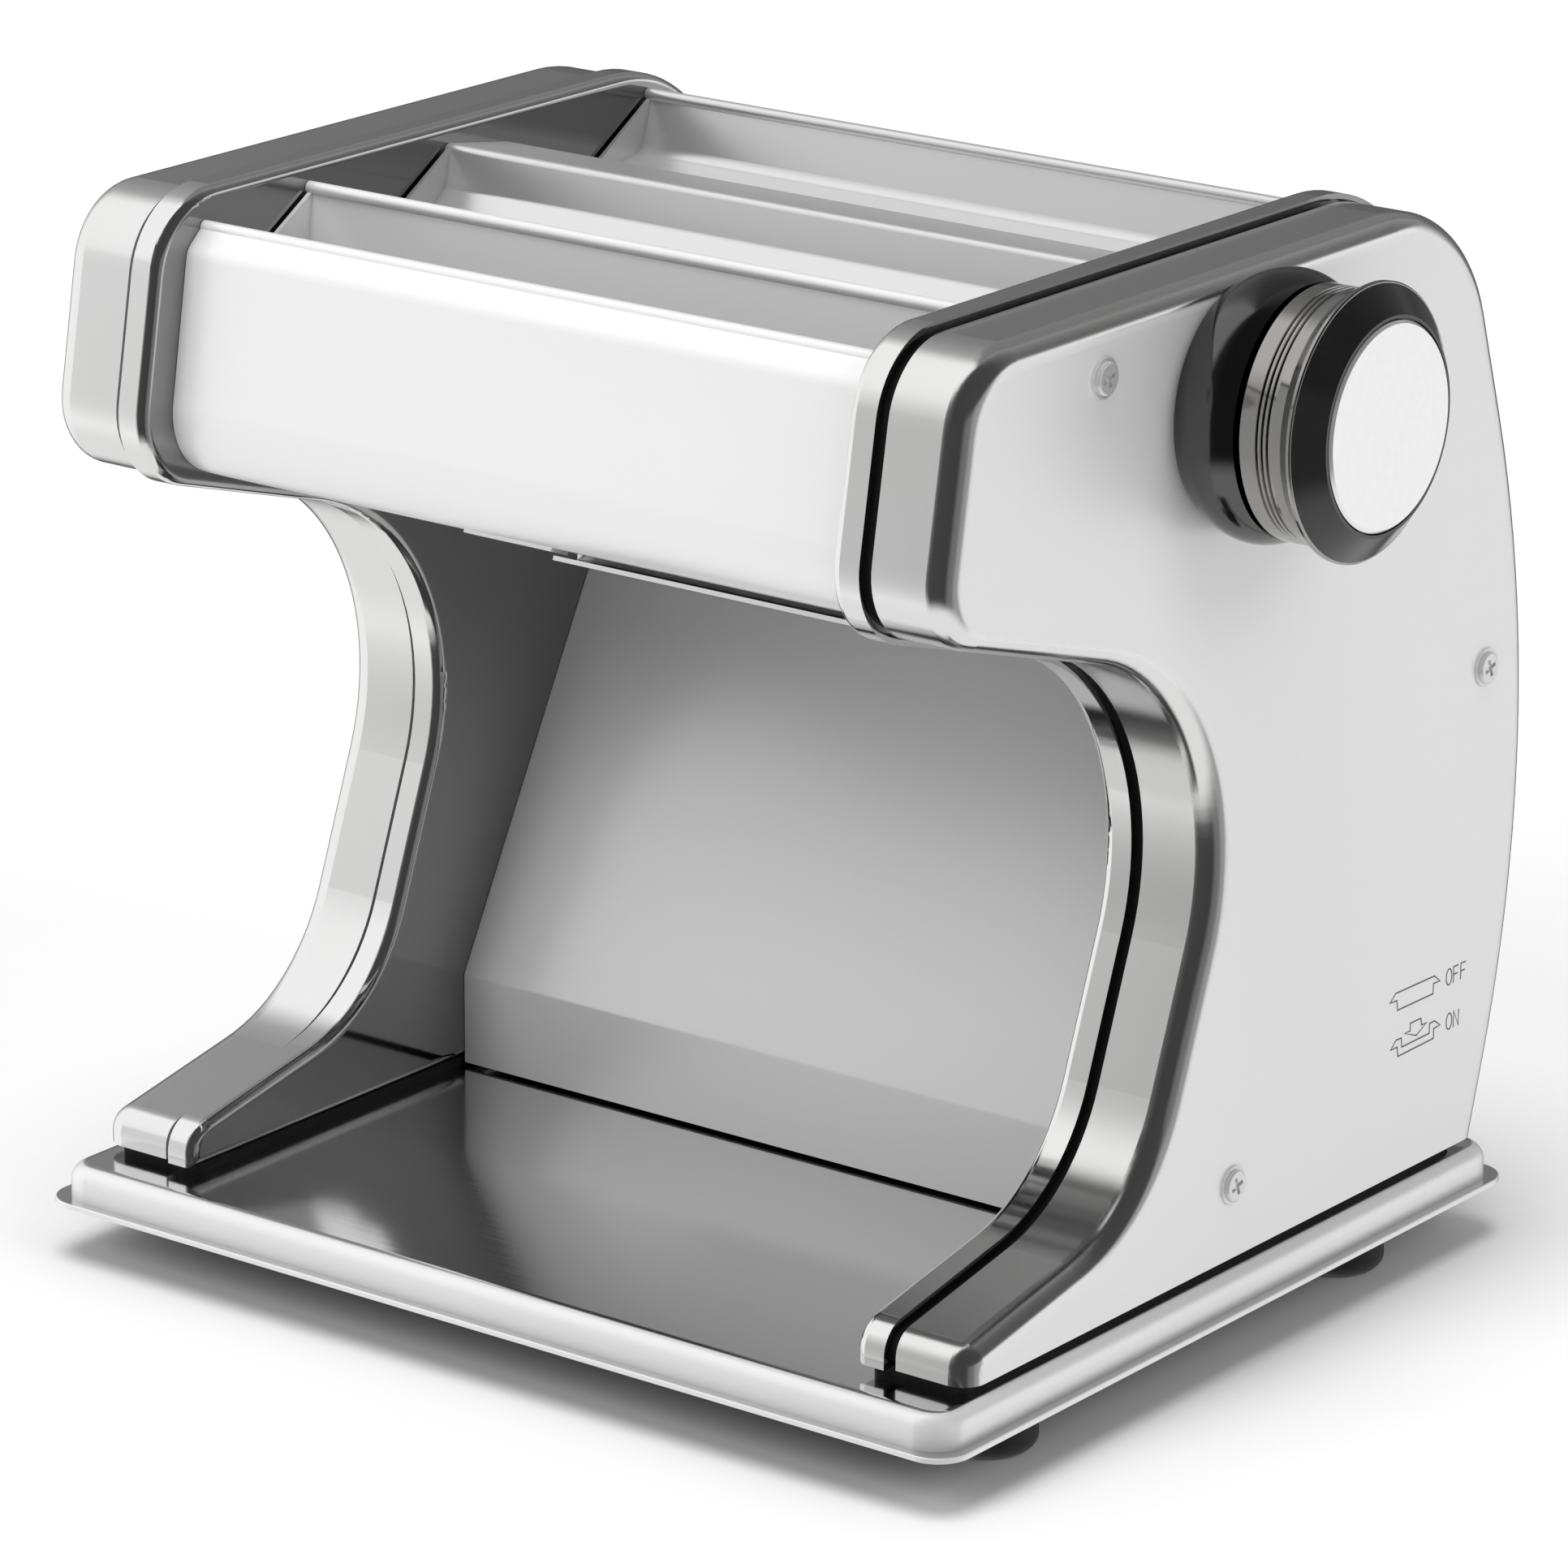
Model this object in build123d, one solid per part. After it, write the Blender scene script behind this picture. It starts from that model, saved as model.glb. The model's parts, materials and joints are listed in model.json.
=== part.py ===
from build123d import *
from math import atan2, cos, floor, hypot, pi, radians, sin, sqrt, tan
import os

# Electric pasta maker with three pairs of rollers between two C-shaped side housings.
# The model is drawn in machine coordinates, in millimetres: X runs across the rollers with 0 in
# the middle, Y runs back from the front tip of the feet of the housings, and Z runs up from the
# underside of the housings. A drop is a distance down from the top of the housings. save_all()
# moves everything so that the machine stands on Z = 0 with its bounding box centred.

# ---------------------------------------------------------------- driving dimensions
# Side housings: an inner shell and an outer cover, two pressed pans with a black gap between.
throat_width = 185.0            # clear width between the two inner shells
inner_shell_depth = 7.5
pan_gap = 2.0                   # black gap between the rims of the two pans
outer_cover_depth = 19.0
pan_wall = 1.2
inner_shell_fillet = 2.5
outer_cover_fillet = 5.5
cover_step = 1.5                # how far the outer cover stays inside the inner shell's outline
seal_recess = 2.95              # how far the black seal lies below the inner shell's outline
seal_band = 3.6
seal_overlap = 1.9              # how far the seal reaches into the outer cover
shell_hole_gap = 1.0            # clearance of the shafts in the inner shells

# Outline of the housing seen from the side, as corners with their own radii.
housing_height = 223.3
head_front = -13.3
head_front_top = -2.7
head_depth = 60.6
head_front_radius = 18.0
head_top_radius = 20.0
throat_back = 104.8
throat_drop = 95.3
throat_top_radius = 53.8
throat_floor_back = 64.7
throat_floor = 21.3
throat_floor_radius = 41.8
toe_front = 0.3
toe_height = 8.8
toe_radius = 7.5
rear_bottom = 200.0
rear_lean_low = 16.47           # lean of the rear wall from upright, below and above its bulge
rear_lean_high = 18.07
rear_bulge_radius = 260.0
rear_top = 185.0
rear_top_radius = 42.0

# Base tray: the margins are how far its rim stands out from the housings.
tray_gap = 2.2                  # housings float this far above the tray on rubber pads
tray_sheet = 1.2
tray_side_margin = 5.4
tray_front_margin = 13.8
tray_rear_margin = 5.5
tray_height = 9.0
rim_width = 2.6
rim_corner_radius = 8.0
rim_edge_radius = 0.4
plateau_corner_radius = 8.0
plateau_edge_radius = 4.0
pad_front_inset = 4.0
pad_rear_inset = 8.0
pad_corner_radius = 2.0

# Rubber feet, in the middle under each housing
foot_radius = 11.0
foot_top_radius = 9.5
foot_height = 21.0
foot_round = 3.5
foot_front = 29.0
foot_rear = 163.0
foot_screw_radius = 2.0
foot_screw_depth = 7.0
foot_screw_head_radius = 4.0
foot_screw_head_height = 1.8
foot_screw_head_round = 0.6

# Clearances
plate_inset = 2.0               # frame plates inside the housing's outline
part_gap = 0.2                  # between pieces that are bolted side by side
press_gap = 0.04                # where a hub or bush is pressed on
running_gap = 0.05              # radial clearance of a shaft in its bearing
overrun = 1.0                   # how far a cutting tool runs past a face

# Roller frame inside the housings
plate_thickness = 4.0
journal_overhang = 0.5
bush_flange = 1.2
bush_flange_rim = 1.3
block_half_y = 10.0
block_half_z = 11.0
block_gap = 0.1
block_flange = 1.4
block_flange_rise = 2.5

# Sheeting rollers
roller_side_gap = 5.5           # between the rollers' ends and the inner shells
roller_radius = 12.7
roller_nip = 0.6
roller_axis_y = 95.7            # adjustable front roller, in line with the thickness knob
roller_axis_drop = 29.5
roller_journal = 6.0
roller_bush = 9.0
gap_travel = 2.5

# Cutting rollers
cutter_radius = 10.8
cutter_groove_radius = 8.6
cutter_distance = 20.0
cutter_journal = 5.0
cutter_bush = 7.0
wide_strand = 12.0
narrow_strand = 2.0
disc_side_gap = 0.2
wide_rear_y = 68.5
wide_axis_drop = 49.3
narrow_rear_y = 33.8

# Combs below the cutters; heights are below the cutter's axis
comb_half = 3.6
comb_bar_drop = 17.0
comb_bar_thickness = 3.0
comb_finger_drop = 9.7
comb_finger_gap = 0.3

# Scraper blades behind the sheeting nip
scraper_gap = 0.9
scraper_place = 64.0            # degrees below the roller's axis
scraper_lean = 45.0
scraper_length = 14.0
scraper_sheet = 1.0

# Gears
roller_gear_module = 2.0
cutter_gear_module = 1.0
drive_module = 1.5
drive_wheel_teeth = 32
wide_drive_teeth = 18
cutter_idler_teeth = 16
drive_idler_teeth = 54
pinion_teeth = 16
transfer_teeth = 24
gear_width = 6.0
cutter_gear_width = 4.0
transfer_gear_width = 3.0
gear_shaft = 5.0
shaft_overhang = 1.5
gear_addendum = 0.85            # in modules, short enough to keep the tips apart
gear_dedendum = 1.15
tooth_share = 0.46              # tooth thickness as a share of the pitch
pressure_angle = 20.0
flank_steps = 4
first_gear_gap = 2.6            # from the frame plate to the first layer of gears
transfer_gear_gap = 1.0         # from the first layer to the transfer gears
drive_gear_gap = 2.4            # from the first layer to the drive gears
idler_pin = 3.0
idler_pin_shoulder = 1.0
idler_pin_head = 2.0
idler_pin_head_length = 1.0

# Motor with its gearbox
motor_axis_y = 167.0
motor_axis_drop = 135.3
motor_radius = 26.0
motor_length = 88.0
motor_round = 3.0
motor_cap_radius = 12.0
motor_cap_length = 6.0
gearbox_radius = 22.0
gearbox_length = 36.0
motor_plate = 4.0
motor_plate_radius = 27.0
motor_shaft = 4.0
pinion_overlap = 1.0            # how far the pinion reaches into its shaft, so that they are one piece
motor_hole_gap = 2.0
shaft_engagement = 10.0         # how far the shaft reaches into the gearbox

# Sheet parts between the housings
sheet = 1.2
side_clearance = 0.1
bead_radius = 1.5
bead_offset = 1.0               # from the edge of a sheet back to the middle of its rolled edge
divider_drop = 4.5              # top of the dividers below the top of the housings

# Front panel
front_edge_y = 8.8
front_edge_drop = 8.3
front_bend_y = 3.9
front_bend_drop = 12.7
front_bend_radius = 4.0
front_chin_y = -3.55
front_chin_drop = 57.8
front_chin_radius = 15.0
front_end_y = 16.5
front_end_drop = 65.6
tab_left = -21.0                # finger tab below the front panel
tab_length = 24.0
tab_width = 6.0
tab_tilt = 21.0
tab_lift = 0.6                  # the tab lies against the underside of the panel
holder_gap = 1.0                # between the tab and the comb holder
holder_front = 6.5
holder_back = 2.2
holder_low = 3.0
holder_rise = 12.0
holder_sheet = 1.0

# End guides: triangles at both ends of a divider
guide_sheet = 1.0
guide_wall_gap = 0.6            # gap between a guide and the end of its divider
guide_rise = 3.0                # rise of the guides' lower edge towards the divider
guide_slope = 31.0              # fall of the end guides' upper edge, in degrees
front_guide_reach = 30.5
middle_guide_reach = 31.6
rear_guide_reach = 27.5

# Front divider, from its rolled top down to a lip over the wide cutters
front_divider_y = 44.5
front_waist_y = 42.8
front_waist_drop = 17.8
front_belly_y = 46.6
front_belly_drop = 27.8
front_throat_y = 47.2
front_throat_drop = 32.8
front_lip_y = 52.5
front_lip_drop = 36.5
divider_bend = 2.0

# Middle divider: a roof over the adjustable roller; leads and reaches are measured forwards and
# backwards from the roller's axis.
roof_top_lead = 4.1
roof_foot_lead = 29.7
roof_foot_drop = 36.3
roof_ledge_lead = 19.7
roof_ledge_drop = 25.5
roof_ledge_bend = 4.0
roof_shoulder_lead = 6.2
roof_shoulder_drop = 14.3
roof_rear_reach = 18.3
roof_rear_drop = 8.7
roof_end_reach = 13.7
roof_end_drop = 15.1
roof_bend = 1.0

# Rear feed plate
rear_feed_y = 164.5
feed_bend_y = 160.0
feed_bend_drop = 19.3
feed_bend_radius = 4.0
feed_end_reach = 12.4           # from the fixed roller's axis back to the end of the plate
feed_end_drop = 22.5

# Rear cover
rear_cover_inset = 6.0
rear_cover_lift = 1.0
vent_rows = 5
vent_columns = 9
vent_length = 12.0
vent_height = 3.0
vent_pitch_x = 18.0
vent_pitch_z = 10.0
vent_first_height = 120.0

# Delivery ramp behind the throat
ramp_lift = 1.0
ramp_foot_y = 95.5
ramp_foot_height = 20.3
ramp_foot_bend = 0.8
ramp_top_y = 160.2
ramp_top_drop = 81.3
ramp_top_bend = 6.0
ramp_end_drop = 27.3

# Thickness knob
knob_base_radius = 26.0
knob_barrel_radius = 29.3
knob_barrel_place = 10.0
knob_shoulder_radius = 27.2
knob_base_length = 15.6
knob_pocket_radius = 14.0
knob_pocket_floor = 5.5
knob_gap = 0.9
knob_body_length = 14.8
knob_neck_radius = 27.4
knob_neck_edge = 0.8
groove_count = 3
groove_start = 4.6
groove_pitch = 1.3
groove_width = 0.7
groove_depth = 0.9
flare_start = 8.6
flare_swell = 0.5               # how far the flare's middle stands out from the neck
knob_rim_radius = 29.9
knob_rim_length = 1.2
knob_rim_edge = 0.3
knob_ring_length = 4.7
knob_ring_step = 0.5
knob_ring_inner = 22.8
knob_ring_land = 0.7
knob_cap_radius = 22.4
knob_cap_dome = 0.6
knob_cap_edge = 0.6
knob_shaft_radius = 6.0
knob_shaft_hole_gap = 1.0
knob_square = 8.0
knob_square_end = 3.5           # from the end of the square to the front of the knob's body
square_end_gap = 0.5
square_start_depth = 7.8
collar_length = 2.0
collar_rim = 3.0
collar_gap = 0.5
cam_offset = 3.4
cam_tail = 1.5
cam_start_radius = 8.0
cam_width = 4.0
cam_turn = 180.0
cam_dwell = 20.0
cam_points = 36
follower_radius = 2.0
follower_gap = 0.15
follower_overhang = 1.0

# Cover screws; the upper two places are given as drops
top_screw_y = 44.0
top_screw_drop = 14.3
middle_screw_y = 194.8
middle_screw_drop = 111.7
low_screw_y = 98.4
low_screw_height = 17.2
screw_radius = 2.0
screw_head_radius = 4.35
screw_head_height = 1.5
screw_rim_height = 0.6
screw_dome_radius = 3.6
screw_dome_round = 0.6
screw_cross_length = 4.2
screw_cross_width = 1.0
screw_cross_depth = 0.6
screw_cross_turn = 20.0
screw_depth = 10.0
post_radius = 4.5

# Power switch in the rear wall of the right cover
switch_inset = 6.9              # from the cover's rim to the switch's axis
switch_height = 36.0
switch_radius = 5.0
switch_flange_radius = 6.6
switch_length = 22.0
switch_flange = 1.2
switch_well = 8.0
button_radius = 3.8
button_travel = 2.0
button_rise = 2.6
button_round = 0.8

# Cord entry in the rear panel
gland_x = -52.0
gland_height = 30.0
gland_radius = 9.0
gland_flange_radius = 12.0
gland_flange = 2.5
gland_nose_radius = 7.0
gland_bore = 3.6
gland_length = 16.0
gland_depth = 8.0               # how much of its length lies inside the panel

# Tie rods between the frame plates; the upper two places are given as drops
tie_rod_radius = 4.0
top_rod_y = 178.0
top_rod_drop = 31.3
middle_rod_y = 176.0
middle_rod_drop = 73.3
rear_rod_y = 188.0
rear_rod_height = 24.0
front_rod_y = 114.0
front_rod_height = 16.0


# ---------------------------------------------------------------- derived places
def below_top(drop):
    return housing_height - drop


throat_half = throat_width / 2
lip_x = throat_half + inner_shell_depth
cover_x = lip_x + pan_gap
cover_face_x = cover_x + outer_cover_depth
plate_x = throat_half + pan_wall + part_gap
plate_out_x = plate_x + plate_thickness
journal_end_x = plate_out_x + journal_overhang
sheet_half = throat_half - side_clearance
roller_half = throat_half - roller_side_gap
roller_length = 2 * roller_half

head_bottom = below_top(head_depth)
throat_top = below_top(throat_drop)
low_slope = tan(radians(rear_lean_low))
high_slope = tan(radians(rear_lean_high))
rear_bulge_height = (rear_top + high_slope * housing_height - rear_bottom) / (low_slope + high_slope)
rear_bulge = rear_bottom + low_slope * rear_bulge_height

tray_half_width = cover_face_x + tray_side_margin
tray_front = toe_front - tray_front_margin
tray_rear = rear_bottom + tray_rear_margin
tray_top = -tray_gap
tray_bottom = tray_top - tray_height
foot_spread = (throat_half + cover_face_x) / 2

roller_axis_z = below_top(roller_axis_drop)
roller_pitch = 2 * roller_radius + roller_nip
fixed_axis_y = roller_axis_y + roller_pitch
roller_gear_teeth = round(roller_pitch / roller_gear_module)
wide_axis_z = below_top(wide_axis_drop)
wide_front_y = wide_rear_y - cutter_distance
cutter_gear_teeth = round(cutter_distance / cutter_gear_module)
transfer_distance = transfer_teeth * cutter_gear_module
narrow_axis_z = wide_axis_z + sqrt(transfer_distance ** 2 - (wide_front_y - narrow_rear_y) ** 2)
narrow_front_y = narrow_rear_y - cutter_distance

# Gears sit in three layers outside the left frame plate, given as distances from the middle.
roller_gear_x = plate_out_x + first_gear_gap
transfer_gear_x = roller_gear_x + cutter_gear_width + transfer_gear_gap
drive_gear_x = roller_gear_x + gear_width + drive_gear_gap
gear_shaft_end_x = drive_gear_x + gear_width + shaft_overhang

knob_base_x = cover_face_x
knob_body_x = knob_base_x + knob_base_length + knob_gap
knob_ring_x = knob_body_x + knob_body_length
cam_x = plate_out_x + cam_offset
switch_x = cover_x + switch_inset

divider_top = below_top(divider_drop)
screw_places = [
    (top_screw_y, below_top(top_screw_drop)),
    (middle_screw_y, below_top(middle_screw_drop)),
    (low_screw_y, low_screw_height),
]
tie_rod_places = [
    (top_rod_y, below_top(top_rod_drop)),
    (middle_rod_y, below_top(middle_rod_drop)),
    (rear_rod_y, rear_rod_height),
    (front_rod_y, front_rod_height),
]

bodies = {}


# ---------------------------------------------------------------- drawing helpers
# Which point of a box or bar is placed: the middle of its lower end, or of its left end.
from_below = (Align.CENTER, Align.CENTER, Align.MIN)
from_left = (Align.MIN, Align.CENTER, Align.CENTER)


def offset_corners(corners, insets):
    """Corners of a closed outline after each edge has moved inwards by its own inset."""
    count = len(corners)
    moved = []
    for i in range(count):
        y0, z0, _ = corners[i - 1]
        y1, z1, radius = corners[i]
        y2, z2, _ = corners[(i + 1) % count]
        before, after = insets[i - 1], insets[i]
        a = (y1 - y0, z1 - z0)
        b = (y2 - y1, z2 - z1)
        la, lb = hypot(*a), hypot(*b)
        a = (a[0] / la, a[1] / la)
        b = (b[0] / lb, b[1] / lb)
        pa = (y1 - a[1] * before, z1 + a[0] * before)
        pb = (y1 - b[1] * after, z1 + b[0] * after)
        cross = a[0] * b[1] - a[1] * b[0]
        run = ((pb[0] - pa[0]) * b[1] - (pb[1] - pa[1]) * b[0]) / cross
        change = -min(before, after) if cross > 0 else max(before, after)
        moved.append((pa[0] + a[0] * run, pa[1] + a[1] * run, max(radius + change, 0) if radius else 0))
    return moved


def outline_face(corners):
    """Flat face in the YZ plane from corners (y, z, radius)."""
    path = FilletPolyline(*[(y, z) for y, z, _ in corners], radius=[r for _, _, r in corners], close=True)
    return Plane.YZ * make_face(path)


def along_x(face, start, length):
    """Solid that reaches from start to start + length along X."""
    return Pos(start, 0, 0) * extrude(face, amount=length, dir=(1, 0, 0))


def rod(y, z, start, length, radius):
    """Round bar along X."""
    return Pos(start, y, z) * (Rot(0, 90, 0) * Cylinder(radius, length, align=from_below))


def along_y(x, y, z, length, radius):
    """Round bar that points backwards from y."""
    return Pos(x, y, z) * Rot(-90, 0, 0) * Cylinder(radius, length, align=from_below)


def strip(points, thickness, radii=0.0, left=-sheet_half):
    """Folded sheet from left to the right side wall, with its middle line through the points."""
    line = FilletPolyline(*points, radius=radii) if len(points) > 2 else Line(*points)
    face = trace(line, line_width=thickness)
    return along_x(Plane.YZ * face, left, sheet_half - left)


def lathe(profile, y, z, base_x):
    """Turned piece about an axis along X: profile holds (distance along X, radius) pairs."""
    face = make_face(Polyline(*[(x, r) for x, r in profile], close=True))
    return Pos(base_x, y, z) * revolve(face, Axis.X)


def mirrored(shape):
    return mirror(shape, about=Plane.YZ)


def save(name, *shapes):
    """Keep one node; several shapes are separate solids of the same node."""
    solids = [solid for shape in shapes for solid in shape.solids()]
    bodies[name] = solids[0] if len(solids) == 1 else Compound(children=solids)


def save_pair(name, *shapes):
    """Keep a right-hand node and its mirror image."""
    save("right_" + name, *shapes)
    save("left_" + name, *[mirrored(shape) for shape in shapes])


# ---------------------------------------------------------------- outlines of the housing
def housing_corners(inset, bottom_inset):
    """C-shaped outline of the housing, moved inwards by inset."""
    corners = [
        (toe_front, 0, 0),
        (rear_bottom, 0, 0),
        (rear_bulge, rear_bulge_height, rear_bulge_radius),
        (rear_top, housing_height, rear_top_radius),
        (head_front_top, housing_height, head_top_radius),
        (head_front, head_bottom, head_front_radius),
        (throat_back, throat_top, throat_top_radius),
        (throat_floor_back, throat_floor, throat_floor_radius),
        (toe_front, toe_height, toe_radius),
    ]
    return offset_corners(corners, [bottom_inset] + [inset] * (len(corners) - 1))


def core_corners(inset, bottom_inset):
    """The same outline without the toe, for pieces that don't reach into it."""
    slope = (throat_back - throat_floor_back) / (throat_top - throat_floor)
    corners = [
        (throat_floor_back - throat_floor * slope, 0, 0),
        (rear_bottom, 0, 0),
        (rear_bulge, rear_bulge_height, rear_bulge_radius),
        (rear_top, housing_height, rear_top_radius),
        (head_front_top, housing_height, head_top_radius),
        (head_front, head_bottom, head_front_radius),
        (throat_back, throat_top, throat_top_radius),
    ]
    return offset_corners(corners, [bottom_inset] + [inset] * (len(corners) - 1))


# ---------------------------------------------------------------- gears
def gear_profile(teeth, module, phase):
    """Gear outline in Y and Z with one tooth centred on the angle phase, in radians."""
    pressure = radians(pressure_angle)
    pitch_radius = teeth * module / 2
    base_radius = pitch_radius * cos(pressure)
    tip_radius = pitch_radius + gear_addendum * module
    root_radius = pitch_radius - gear_dedendum * module
    half_tooth = pi / teeth * tooth_share

    def flank_angle(radius):
        if radius <= base_radius:
            return half_tooth + tan(pressure) - pressure
        roll = sqrt((radius / base_radius) ** 2 - 1)
        return half_tooth + (tan(pressure) - pressure) - (roll - atan2(roll, 1))

    radii = [root_radius + (tip_radius - root_radius) * k / flank_steps for k in range(flank_steps + 1)]
    points = []
    for tooth in range(teeth):
        middle = phase + 2 * pi * tooth / teeth
        rising = [(r, middle - flank_angle(r)) for r in radii]
        falling = [(r, middle + flank_angle(r)) for r in reversed(radii)]
        points += [(r * cos(a), r * sin(a)) for r, a in rising + falling]
    return points


def gear(teeth, module, phase, y, z, far_x, width, bore):
    """Spur gear in the left housing; far_x is the distance of its inner face from the middle."""
    face = make_face(Polyline(*gear_profile(teeth, module, phase), close=True)) - Circle(bore)
    return Pos(0, y, z) * along_x(Plane.YZ * face, -far_x - width, width)


def meshing_phase(phase, teeth, other_teeth, here, there):
    """Phase of the gear at there that meshes with the gear at here."""
    direction = atan2(there[1] - here[1], there[0] - here[0])
    lead = teeth * (phase - direction) + pi
    return direction + pi - lead / other_teeth


def third_centre(first, second, first_distance, second_distance, side):
    """Centre at given distances from two others, to the left (+1) or right (-1) of the line."""
    dy, dz = second[0] - first[0], second[1] - first[1]
    span = hypot(dy, dz)
    run = (first_distance ** 2 - second_distance ** 2 + span ** 2) / (2 * span)
    rise = sqrt(first_distance ** 2 - run ** 2) * side
    return (first[0] + (dy * run - dz * rise) / span, first[1] + (dz * run + dy * rise) / span)


fixed_roller = (fixed_axis_y, roller_axis_z)
moving_roller = (roller_axis_y, roller_axis_z)
wide_rear = (wide_rear_y, wide_axis_z)
wide_front = (wide_front_y, wide_axis_z)
narrow_rear = (narrow_rear_y, narrow_axis_z)
narrow_front = (narrow_front_y, narrow_axis_z)
cutter_centres = (wide_rear, wide_front, narrow_rear, narrow_front)
motor_centre = (motor_axis_y, below_top(motor_axis_drop))
cutter_idler_centre = third_centre(
    fixed_roller, wide_rear,
    drive_module * (drive_wheel_teeth + cutter_idler_teeth) / 2,
    drive_module * (wide_drive_teeth + cutter_idler_teeth) / 2, 1)
drive_idler_centre = third_centre(
    motor_centre, fixed_roller,
    drive_module * (pinion_teeth + drive_idler_teeth) / 2,
    drive_module * (drive_wheel_teeth + drive_idler_teeth) / 2, -1)


# ---------------------------------------------------------------- base
def base_tray():
    """Pressed tray: a raised plateau with rounded edges on a narrow flat rim."""
    middle_y = (tray_front + tray_rear) / 2
    length = tray_rear - tray_front

    def block(inset, radius, bottom, height):
        plan = RectangleRounded(2 * (tray_half_width - inset), length - 2 * inset, radius)
        return Pos(0, middle_y, bottom) * extrude(plan, amount=height)

    plateau = block(rim_width, plateau_corner_radius, tray_bottom, tray_height)
    plateau = fillet(plateau.faces().sort_by(Axis.Z)[-1].edges(), plateau_edge_radius)
    hollow_height = tray_height - tray_sheet + overrun
    hollow_radius = plateau_corner_radius - tray_sheet
    hollow = block(rim_width + tray_sheet, hollow_radius, tray_bottom - overrun, hollow_height)
    hollow = fillet(hollow.faces().sort_by(Axis.Z)[-1].edges(), plateau_edge_radius - tray_sheet)
    rim = block(0, rim_corner_radius, tray_bottom, tray_sheet)
    rim = fillet(rim.faces().sort_by(Axis.Z)[-1].edges(), rim_edge_radius)
    tray = plateau + rim - hollow
    for x, y in foot_places():
        tray -= Pos(x, y, tray_top) * Cylinder(foot_screw_radius + part_gap, 2 * (tray_sheet + overrun))
    save("base_tray", tray)


def foot_places():
    return [(side * foot_spread, y) for side in (-1, 1) for y in (foot_front, foot_rear)]


def feet():
    """Four rubber feet under the plateau, each held by a screw from above."""
    under = tray_top - tray_sheet
    names = ["foot_front_left", "foot_rear_left", "foot_front_right", "foot_rear_right"]
    screws = []
    for name, (x, y) in zip(names, foot_places()):
        foot = Pos(x, y, under) * Rot(180, 0, 0) * Cone(
            foot_top_radius, foot_radius, foot_height, align=from_below)
        foot = fillet(foot.edges().sort_by(Axis.Z)[0], foot_round)
        hole = Pos(x, y, under) * Cylinder(foot_screw_radius + press_gap, 2 * (foot_screw_depth + overrun))
        save(name, foot - hole)
        shank = Pos(x, y, under - foot_screw_depth) * Cylinder(
            foot_screw_radius, foot_screw_depth + tray_sheet, align=from_below)
        head = Pos(x, y, tray_top) * Cylinder(
            foot_screw_head_radius, foot_screw_head_height, align=from_below)
        screws.append(shank + fillet(head.edges().sort_by(Axis.Z)[-1], foot_screw_head_round))
    save("foot_screws", *screws)


def base_pads():
    """Black rubber strips that carry the housings on the tray."""
    inner_x = throat_half + pan_wall
    outer_x = cover_face_x - seal_recess
    front = toe_front + pad_front_inset
    rear = rear_bottom - pad_rear_inset
    pad = Box(outer_x - inner_x, rear - front, tray_gap, align=(Align.MIN, Align.MIN, Align.MIN))
    pad = Pos(inner_x, front, tray_top) * fillet(pad.edges().filter_by(Axis.Z), pad_corner_radius)
    for x, y in foot_places():
        pad -= Pos(abs(x), y, tray_top) * Cylinder(foot_screw_head_radius + 2 * part_gap, 3 * tray_gap)
    save_pair("base_pad", pad)


# ---------------------------------------------------------------- side housings
def inner_shell(left):
    """Pan with its flat face towards the throat and a bright open rim."""
    outer = along_x(outline_face(housing_corners(0, 0)), throat_half, inner_shell_depth)
    outer = fillet(outer.faces().sort_by(Axis.X)[0].edges(), inner_shell_fillet)
    hollow_outline = outline_face(housing_corners(pan_wall, pan_wall))
    hollow = along_x(hollow_outline, throat_half + pan_wall, inner_shell_depth)
    hollow = fillet(hollow.faces().sort_by(Axis.X)[0].edges(), inner_shell_fillet - pan_wall)
    shell = outer - hollow
    start, length = throat_half - overrun, pan_wall + 2 * overrun
    for centre in cutter_centres:
        shell -= rod(*centre, start, length, cutter_journal + shell_hole_gap)
    shell -= rod(*fixed_roller, start, length, roller_journal + shell_hole_gap)
    for place in tie_rod_places:
        shell -= rod(*place, start, length, tie_rod_radius + part_gap)
    # The adjustable roller's journal travels forwards in a slot.
    slot = SlotCenterToCenter(gap_travel, 2 * (roller_journal + shell_hole_gap))
    shell -= Pos(0, roller_axis_y - gap_travel / 2, roller_axis_z) * along_x(Plane.YZ * slot, start, length)
    if left:
        shell -= rod(*motor_centre, start, length, motor_shaft + motor_hole_gap)
    return shell


def inner_shells():
    save("right_inner_shell", inner_shell(False))
    save("left_inner_shell", mirrored(inner_shell(True)))


def frame_plate(left):
    """Steel plate that carries the bushes, with a slot for the sliding bearing block."""
    plate = along_x(outline_face(core_corners(plate_inset, plate_inset)), plate_x, plate_thickness)
    start, length = plate_x - overrun, plate_thickness + 2 * overrun
    for centre in cutter_centres:
        plate -= rod(*centre, start, length, cutter_bush + press_gap)
    plate -= rod(*fixed_roller, start, length, roller_bush + press_gap)
    slot_length = 2 * block_half_y + gap_travel + 2 * part_gap
    slot = Box(length, slot_length, 2 * (block_half_z + block_gap), align=from_left)
    plate -= Pos(start, roller_axis_y - gap_travel / 2, roller_axis_z) * slot
    if left:
        plate -= rod(*motor_centre, start, length, motor_shaft + motor_hole_gap)
        for centre in (cutter_idler_centre, drive_idler_centre):
            plate -= rod(*centre, start, length, idler_pin + press_gap)
    return plate


def frame_plates():
    save("right_frame_plate", frame_plate(False))
    save("left_frame_plate", mirrored(frame_plate(True)))


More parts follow.
